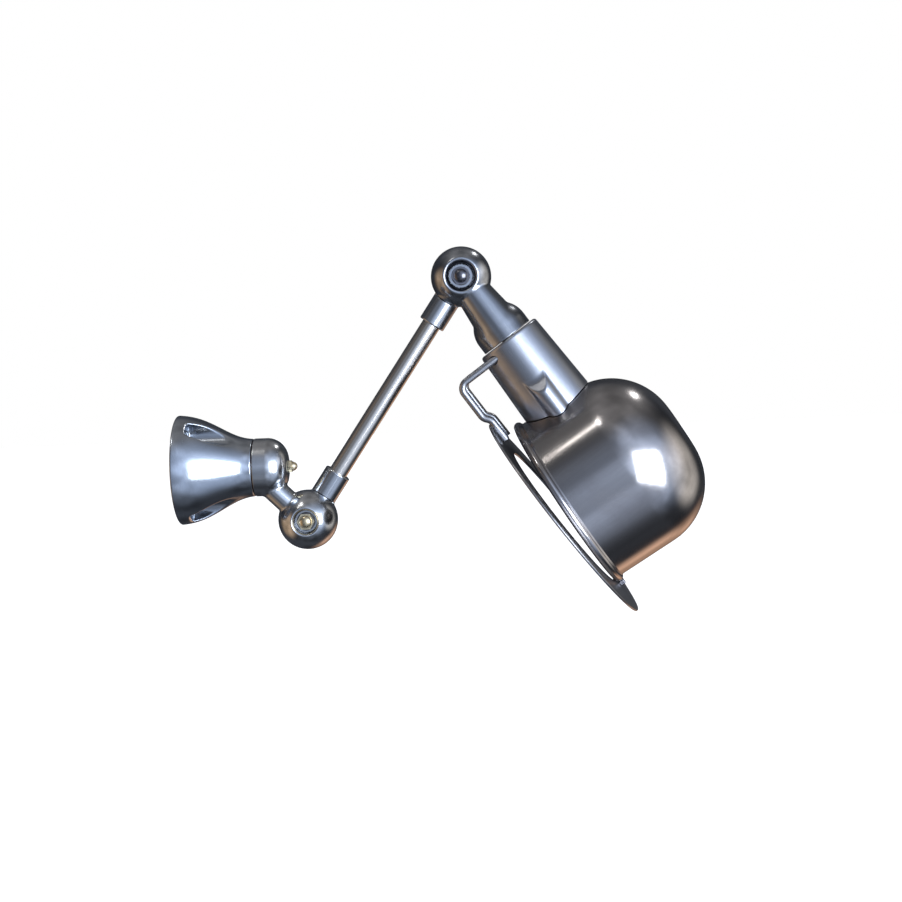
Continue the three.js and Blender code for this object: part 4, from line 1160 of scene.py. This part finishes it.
def pivot_set(prefix, body, place, at, across, nut_name, nut_finish, nut_slot):
    """The nut in the front recess, the spring washer and the slotted bolt behind."""
    nut_seat = RECESS_FLOOR + 2 * GAP + WASHER_THICKNESS
    front = axis_frame(place, (at[0], -nut_seat, at[2]), (0, -1, 0))
    nut = grown(f"{nut_name}_domed", acorn_nut, front, nut_finish,
                {"Across": across, "Hex Height": 2.6, "Height": 5.6})
    fit(nut, nut_finish, nut_slot, body, nut_name)
    section = band(-nut_seat + GAP, -nut_seat + GAP + WASHER_THICKNESS, PIVOT_BORE, PIVOT_WASHER)
    washer = turned(f"{prefix}_washer_sprung", eased(section, 0.3), place, along=(0, 1, 0),
                    at=(at[0], 0, at[2]), closed=True)
    fit(washer, "spring_metal", "screw_steel", body, f"{prefix}_spring_washer")
    seat = RECESS_FLOOR + GAP
    slotted_screw(f"{prefix}_pivot_bolt_slotted", f"{prefix}_pivot_bolt", body, place,
                  (at[0], seat, at[2]), (0, 1, 0),
                  {"Radius": 5.6, "Height": 3.4, "Slot Width": 1.3, "Slot Depth": 1.2},
                  {"Radius": PIVOT_RADIUS, "Length": seat + nut_seat + 3.4, "Pitch": 1.0,
                   "Ridge": 0.3}, sunk=0.5)


def make_swivel():
    low = (CAP_START - 1, -BALL_RADIUS - 1.5, LOWER_BALL[2] - BALL_RADIUS - 1)
    high = (LOWER_BALL[0] + BALL_RADIUS + 1, CAP_RADIUS + 1.2, CAP_RADIUS + 1.2)
    elbow = cast("swivel_elbow_cast", elbow_solid(), low, high, 0.5, BASE_FRAME)
    fit(elbow, "elbow_steel", "cast_steel", "swivel", "swivel_elbow")
    pivot_set("lower", "swivel", BASE_FRAME, LOWER_BALL, 10.6, "lower_acorn_nut", "old_brass",
              "brass")


def make_arm():
    solid = arm_end_solid()
    reach = BALL_RADIUS + 1
    low, high = (-reach, -6.5, -reach), (SLEEVE_END + 1, reach, reach)
    flip = (np.diag((-1.0, 1.0, 1.0)), np.array((ARM_LENGTH, 0, 0)))
    for end, mirror in (("lower", None), ("upper", flip)):
        knuckle = cast(f"{end}_arm_knuckle_cast", solid, low, high, 0.5, ARM_FRAME, mirror)
        fit(knuckle, "arm_steel", "cast_steel", "arm", f"{end}_arm_knuckle")
        along = GRUB_PLACE if mirror is None else ARM_LENGTH - GRUB_PLACE
        tip = LIMB_OFFSET + TUBE_RADIUS + GAP
        top = LIMB_OFFSET + SLEEVE_RADIUS - 0.2
        hex_floor = LIMB_OFFSET + SLEEVE_RADIUS - 1.4
        grub = turned(f"{end}_grub_screw_socketed", eased([
            (tip, 0), (tip, 1.7), (top, 1.7), (top, 0.9), (hex_floor, 0.9), (hex_floor, 0)],
            0.15, closed=False), ARM_FRAME, along=(0, 1, 0), at=(along, 0, 0), steps=48)
        fit(grub, "screw_metal", "screw_steel", "arm", f"{end}_grub_screw")
    inset = SOCKET_START + GAP
    outline = [(inset, TUBE_BORE), (inset, TUBE_RADIUS)]
    outline += [(x, TUBE_RADIUS) for x in np.linspace(inset, ARM_LENGTH - inset, 30)[1:-1]]
    outline += [(ARM_LENGTH - inset, TUBE_RADIUS), (ARM_LENGTH - inset, TUBE_BORE)]
    tube = turned("arm_tube_drawn", outline, ARM_FRAME, at=(0, LIMB_OFFSET, 0), steps=128,
                  closed=True)
    fit(tube, "drawn_tube", "tube_steel", "arm", "arm_tube")


def make_neck():
    reach = BALL_RADIUS + 1
    knuckle = cast("head_knuckle_cast", neck_solid(), (-reach, -reach, -reach),
                   (HEAD_SEAM + 1, DOME_RADIUS + 1.5, reach), 0.5, NECK_FRAME)
    fit(knuckle, "neck_steel", "cast_steel", "neck", "head_knuckle")
    pivot_set("upper", "neck", NECK_FRAME, (0, 0, 0), 11.4, "upper_dome_nut", "dark_chrome",
              "dark_chrome")


# ------------------------------------------------------------------------ the head

BOWL_AXIS = (math.sin(BOWL_TILT), 0, math.cos(BOWL_TILT))
RING_AXIS = (-math.sin(RING_TILT), 0, math.cos(RING_TILT))


def housing_solid():
    """A tapered barrel with two ribs, coped to sit on the bowl."""
    end = 128
    barrel = common(cone(HOUSING_TOP, HOUSING_RADIUS, HOUSING_TAPER),
                    half_space((-1, 0, 0), -HOUSING_TOP), half_space((1, 0, 0), end),
                    blend=HOUSING_EDGE * 1.4)
    ribs = []
    for side in SIDES.values():
        bar = rod(RIB_TOP - 5, end, RIB_RADIUS, at=(0, side * RIB_OFFSET, RIB_LEVEL))
        wedge = half_space((-1, side * RIB_SLOPE, 0), 20 * RIB_SLOPE - RIB_TOP)
        ribs.append(common(bar, wedge, blend=0.9))
    body = join(join(barrel, ribs[0], blend=1.6), ribs[1], blend=1.6)
    bowl = rod(-300, BOWL_DEPTH + COPE_GAP, BOWL_RADIUS + COPE_GAP, BOWL_CORNER + COPE_GAP,
               along=BOWL_AXIS, at=BOWL_RIM)
    narrow = rod(57, HOUSING_LEDGE + 5, 15.5)
    cavity = common(cone(HOUSING_LEDGE, HOUSING_CAVITY, HOUSING_TAPER * 0.6),
                    half_space((-1, 0, 0), -HOUSING_LEDGE))
    wire_holes = [rod(9.5, 30, WIRE_RADIUS + GAP, along=(0, 0, -1),
                      at=(WIRE_LEVEL, side * WIRE_SPACING, 0)) for side in SIDES.values()]
    screw_holes = [rod(98, 130, BOWL_SCREW_HOLE, at=(0, side * BOWL_SCREW_OFFSET, RIB_LEVEL))
                   for side in SIDES.values()]
    plate_holes = [rod(62, 80, 1.7, at=(0, 0, side * 18.4)) for side in (-1, 1)]
    nipple_bore = rod(HOUSING_TOP - 3, 60, NIPPLE_BORE)
    shell = cut(body, narrow, cavity, nipple_bore, *wire_holes, *screw_holes, *plate_holes,
                blend=0.4)
    return cut(shell, bowl, blend=0.5)


def bowl_outline():
    """The pressed bowl from its crown, down the wall, round the rolled bead and back."""
    crown = BOWL_DEPTH - BOWL_CORNER
    outside = [(BOWL_DEPTH, 0)] + [(BOWL_DEPTH, r) for r in (4, 8, 12)]
    outside += arc(crown, BOWL_RADIUS - BOWL_CORNER, BOWL_CORNER, 0, 90, 64)
    outside += [(h, BOWL_RADIUS) for h in np.linspace(crown, 0.9, 14)[1:]]
    half = BEAD_WIDTH / 2
    bead = [(-half + half * math.sin(a), BOWL_RADIUS + BEAD_REACH * math.cos(a))
            for a in np.radians(np.linspace(76, -90, 26))]
    inner = BOWL_RADIUS - BOWL_WALL
    inside = [(-BEAD_WIDTH, inner + 0.5), (-BEAD_WIDTH + 0.5, inner)]
    inside += [(h, inner) for h in np.linspace(-BEAD_WIDTH + 2, crown, 14)]
    inside += arc(crown, BOWL_RADIUS - BOWL_CORNER, BOWL_CORNER - BOWL_WALL, 90, 0, 64)[1:]
    inside += [(BOWL_DEPTH - BOWL_WALL, r) for r in (12, 8, 4, 0)]
    return outside + bead + inside


def drilled(piece, *drills):
    """Takes drills out of a piece with exact booleans."""
    for drill in drills:
        modifier = piece.modifiers.new("drill", "BOOLEAN")
        modifier.operation = "DIFFERENCE"
        modifier.solver = "EXACT"
        modifier.object = drill
    piece = baked(piece)
    for drill in drills:
        bpy.data.objects.remove(drill)
    return shade(piece)


def drill(start, end, radius, at, along=(1, 0, 0)):
    return turned("drill", [(start, 0), (start, radius), (end, radius), (end, 0)], HEAD_FRAME,
                  along=along, at=at, steps=64)


def make_bowl():
    bowl = turned("bowl_shade_pressed", bowl_outline(), HEAD_FRAME, BOWL_AXIS, BOWL_RIM, steps=256)
    holes = [drill(95, 125, 16.5, (0, 0, 0))]
    holes += [drill(95, 125, BOWL_SCREW_HOLE, (0, side * BOWL_SCREW_OFFSET, RIB_LEVEL))
              for side in SIDES.values()]
    fit(drilled(bowl, *holes), "spun_bowl", "bowl_steel", "head", "bowl_shade")


def make_front_ring():
    half = RING_THICKNESS / 2
    outline = eased(band(-half, half, RING_INNER, RING_OUTER), 0.6)
    ring = turned("front_ring_spun", outline, HEAD_FRAME, RING_AXIS, RING_CENTRE, steps=256,
                  closed=True)
    ring = drilled(ring, drill(-60, -30, CLIP_HOLE, (CLIP_PLACE, 0, 0), (0, 0, 1)))
    fit(ring, "spun_ring", "bowl_steel", "head", "front_ring")


def make_bowl_screws():
    """The two screws from inside the bowl into the housing's ribs."""
    for name, side in SIDES.items():
        slotted_screw(f"bowl_screw_slotted_{name}", f"bowl_screw_{name}", "head", HEAD_FRAME,
                      (118, side * BOWL_SCREW_OFFSET, RIB_LEVEL), (1, 0, 0),
                      {"Radius": 3.4, "Height": 2.0, "Slot Width": 1.0, "Slot Depth": 0.9},
                      {"Radius": 2.0, "Length": 18.5, "Pitch": 0.7, "Ridge": 0.22})


def make_ring_clip():
    """A small block on the bowl's side of the ring, and its screw through the ring."""
    low, high = np.array((235.5, -3.2, -41.9)), np.array((239.1, 3.2, -38.0))
    middle, half, corner = (low + high) / 2, (high - low) / 2, 0.7

    def block(points):
        over = np.abs(points - middle) - half + corner
        outside = np.linalg.norm(np.maximum(over, 0), axis=1)
        return outside + np.minimum(over.max(axis=1), 0) - corner

    hole = rod(-60, -30, CLIP_HOLE, along=(0, 0, 1), at=(CLIP_PLACE, 0, 0))
    solid = cut(block, hole, blend=0.2)
    clip = cast("ring_clip_block", solid, low - 0.6, high + 0.6, 0.18, HEAD_FRAME)
    fit(clip, "dark_chrome", "dark_chrome", "head", "ring_clip")
    slotted_screw("ring_clip_screw_slotted", "ring_clip_screw", "head", HEAD_FRAME,
                  (CLIP_PLACE, 0, CLIP_SCREW_SEAT), (0, 0, -1),
                  {"Radius": 2.2, "Height": 1.2, "Slot Width": 0.6, "Slot Depth": 0.5},
                  {"Radius": 0.8, "Length": 6.0, "Pitch": 0.4, "Ridge": 0.14})


def make_handle():
    """Two wires: out of the housing, down its side, and on to the ring's face."""
    outside, on_ring = -46.2, -42.7
    for name, side in SIDES.items():
        y = side * WIRE_SPACING
        line = [(WIRE_LEVEL, y, -10), (WIRE_LEVEL, y, outside), (86.5, y, outside),
                (91, y, on_ring), (108, y, on_ring + 0.3)]
        wire = grown(f"handle_wire_bent_{name}", bent_wire, HEAD_FRAME, "wire_steel",
                     {"Radius": WIRE_RADIUS, "Bend": 6.0}, line)
        fit(wire, "wire_steel", "tube_steel", "head", f"handle_wire_{name}")


def make_housing():
    reach = RIB_OFFSET + RIB_RADIUS + 1.5
    barrel = cast("lamp_housing_cast", housing_solid(), (HOUSING_TOP - 1, -reach, -28),
                  (122, reach, 28), 0.55, HEAD_FRAME)
    fit(barrel, "housing_steel", "cast_steel", "head", "lamp_housing")


# --------------------------------------------------------------- lampholder and bulb


def make_lampholder():
    cap_start = HOUSING_LEDGE + 2 * GAP + 1.6
    skirt_start, skirt_end, floor = 86.4, 119, 91
    cap = turned("lampholder_cap_moulded", eased([
        (cap_start, NIPPLE_BORE), (cap_start, HOLDER_RADIUS - 1.5),
        (cap_start + 1.5, HOLDER_RADIUS), (skirt_start - GAP, HOLDER_RADIUS),
        (skirt_start - GAP, 11.6), (cap_start + 3, 11.6), (cap_start + 3, NIPPLE_BORE)], 0.5),
        HEAD_FRAME, closed=True)
    fit(cap, "black_phenolic", "phenolic", "head", "lampholder_cap")
    skirt = turned("lampholder_skirt_moulded", eased([
        (skirt_start, 2.3), (skirt_start, HOLDER_RADIUS), (skirt_end - 1, HOLDER_RADIUS),
        (skirt_end, HOLDER_RADIUS - 1), (skirt_end, 10), (skirt_end - 2.5, 8.5), (floor, 8.5),
        (floor, 2.3)], 0.5),
        HEAD_FRAME, closed=True)
    fit(skirt, "black_phenolic", "phenolic", "head", "lampholder_skirt")
    section = band(114, 117.4, HOLDER_RADIUS + GAP, 20)
    shade_ring = turned("shade_ring_moulded", eased(section, 0.6), HEAD_FRAME, closed=True)
    fit(shade_ring, "black_phenolic", "phenolic", "head", "shade_ring")


def make_bulb():
    """A thin glass globe that runs in to a short neck, as one closed wall."""
    globe, centre, thickness, neck_radius, start, shoulder = 22.5, 148, 0.8, 7.2, 113.3, 152

    def wall(inset):
        sphere = arc(centre, 0, globe - inset, shoulder - 6, 0, 60)
        neck_line = [(start, neck_radius - inset), (start + 6, neck_radius + 0.2 - inset)]
        return eased(neck_line + sphere[:1], 4, closed=False)[:-1] + sphere

    glass = turned("bulb_glass_blown", wall(0) + wall(thickness)[::-1], HEAD_FRAME, steps=128,
                   closed=True)
    fit(glass, "frosted_glass", "glass", "head", "bulb_glass")


# ------------------------------------------------------ CAD nodes that stay as they are

KEPT_FINISHES = {
    "screw_metal": ["terminal_strap", "terminal_block_screw", "holder_plate",
                    "holder_plate_screw_1", "holder_plate_screw_2", "bulb_contact"],
    "spring_metal": ["nipple_spring_washer"],
    "old_brass": ["head_nipple", "nipple_nut", "holder_nipple", "holder_nipple_nut",
                  "centre_contact", "screw_shell", "bulb_cap"],
    "glazed_ceramic": ["terminal_block"],
    "pressed_fibre": ["swivel_friction_washer", "lower_friction_disc", "upper_friction_disc",
                      "head_friction_washer"],
    "black_rubber": ["arm_lead"],
}


def finish_kept_nodes():
    for finish, names in KEPT_FINISHES.items():
        for name in names:
            materials = frame["nodes"][name].data.materials
            materials.clear()
            materials.append(finishes[finish])


make_camera()
make_lights()
make_surroundings()
make_floor()
make_base()
make_swivel()
make_arm()
make_neck()
make_housing()
make_bowl()
make_front_ring()
make_bowl_screws()
make_ring_clip()
make_handle()
make_lampholder()
make_bulb()
finish_kept_nodes()

bpy.context.scene.view_settings.view_transform = "Standard"
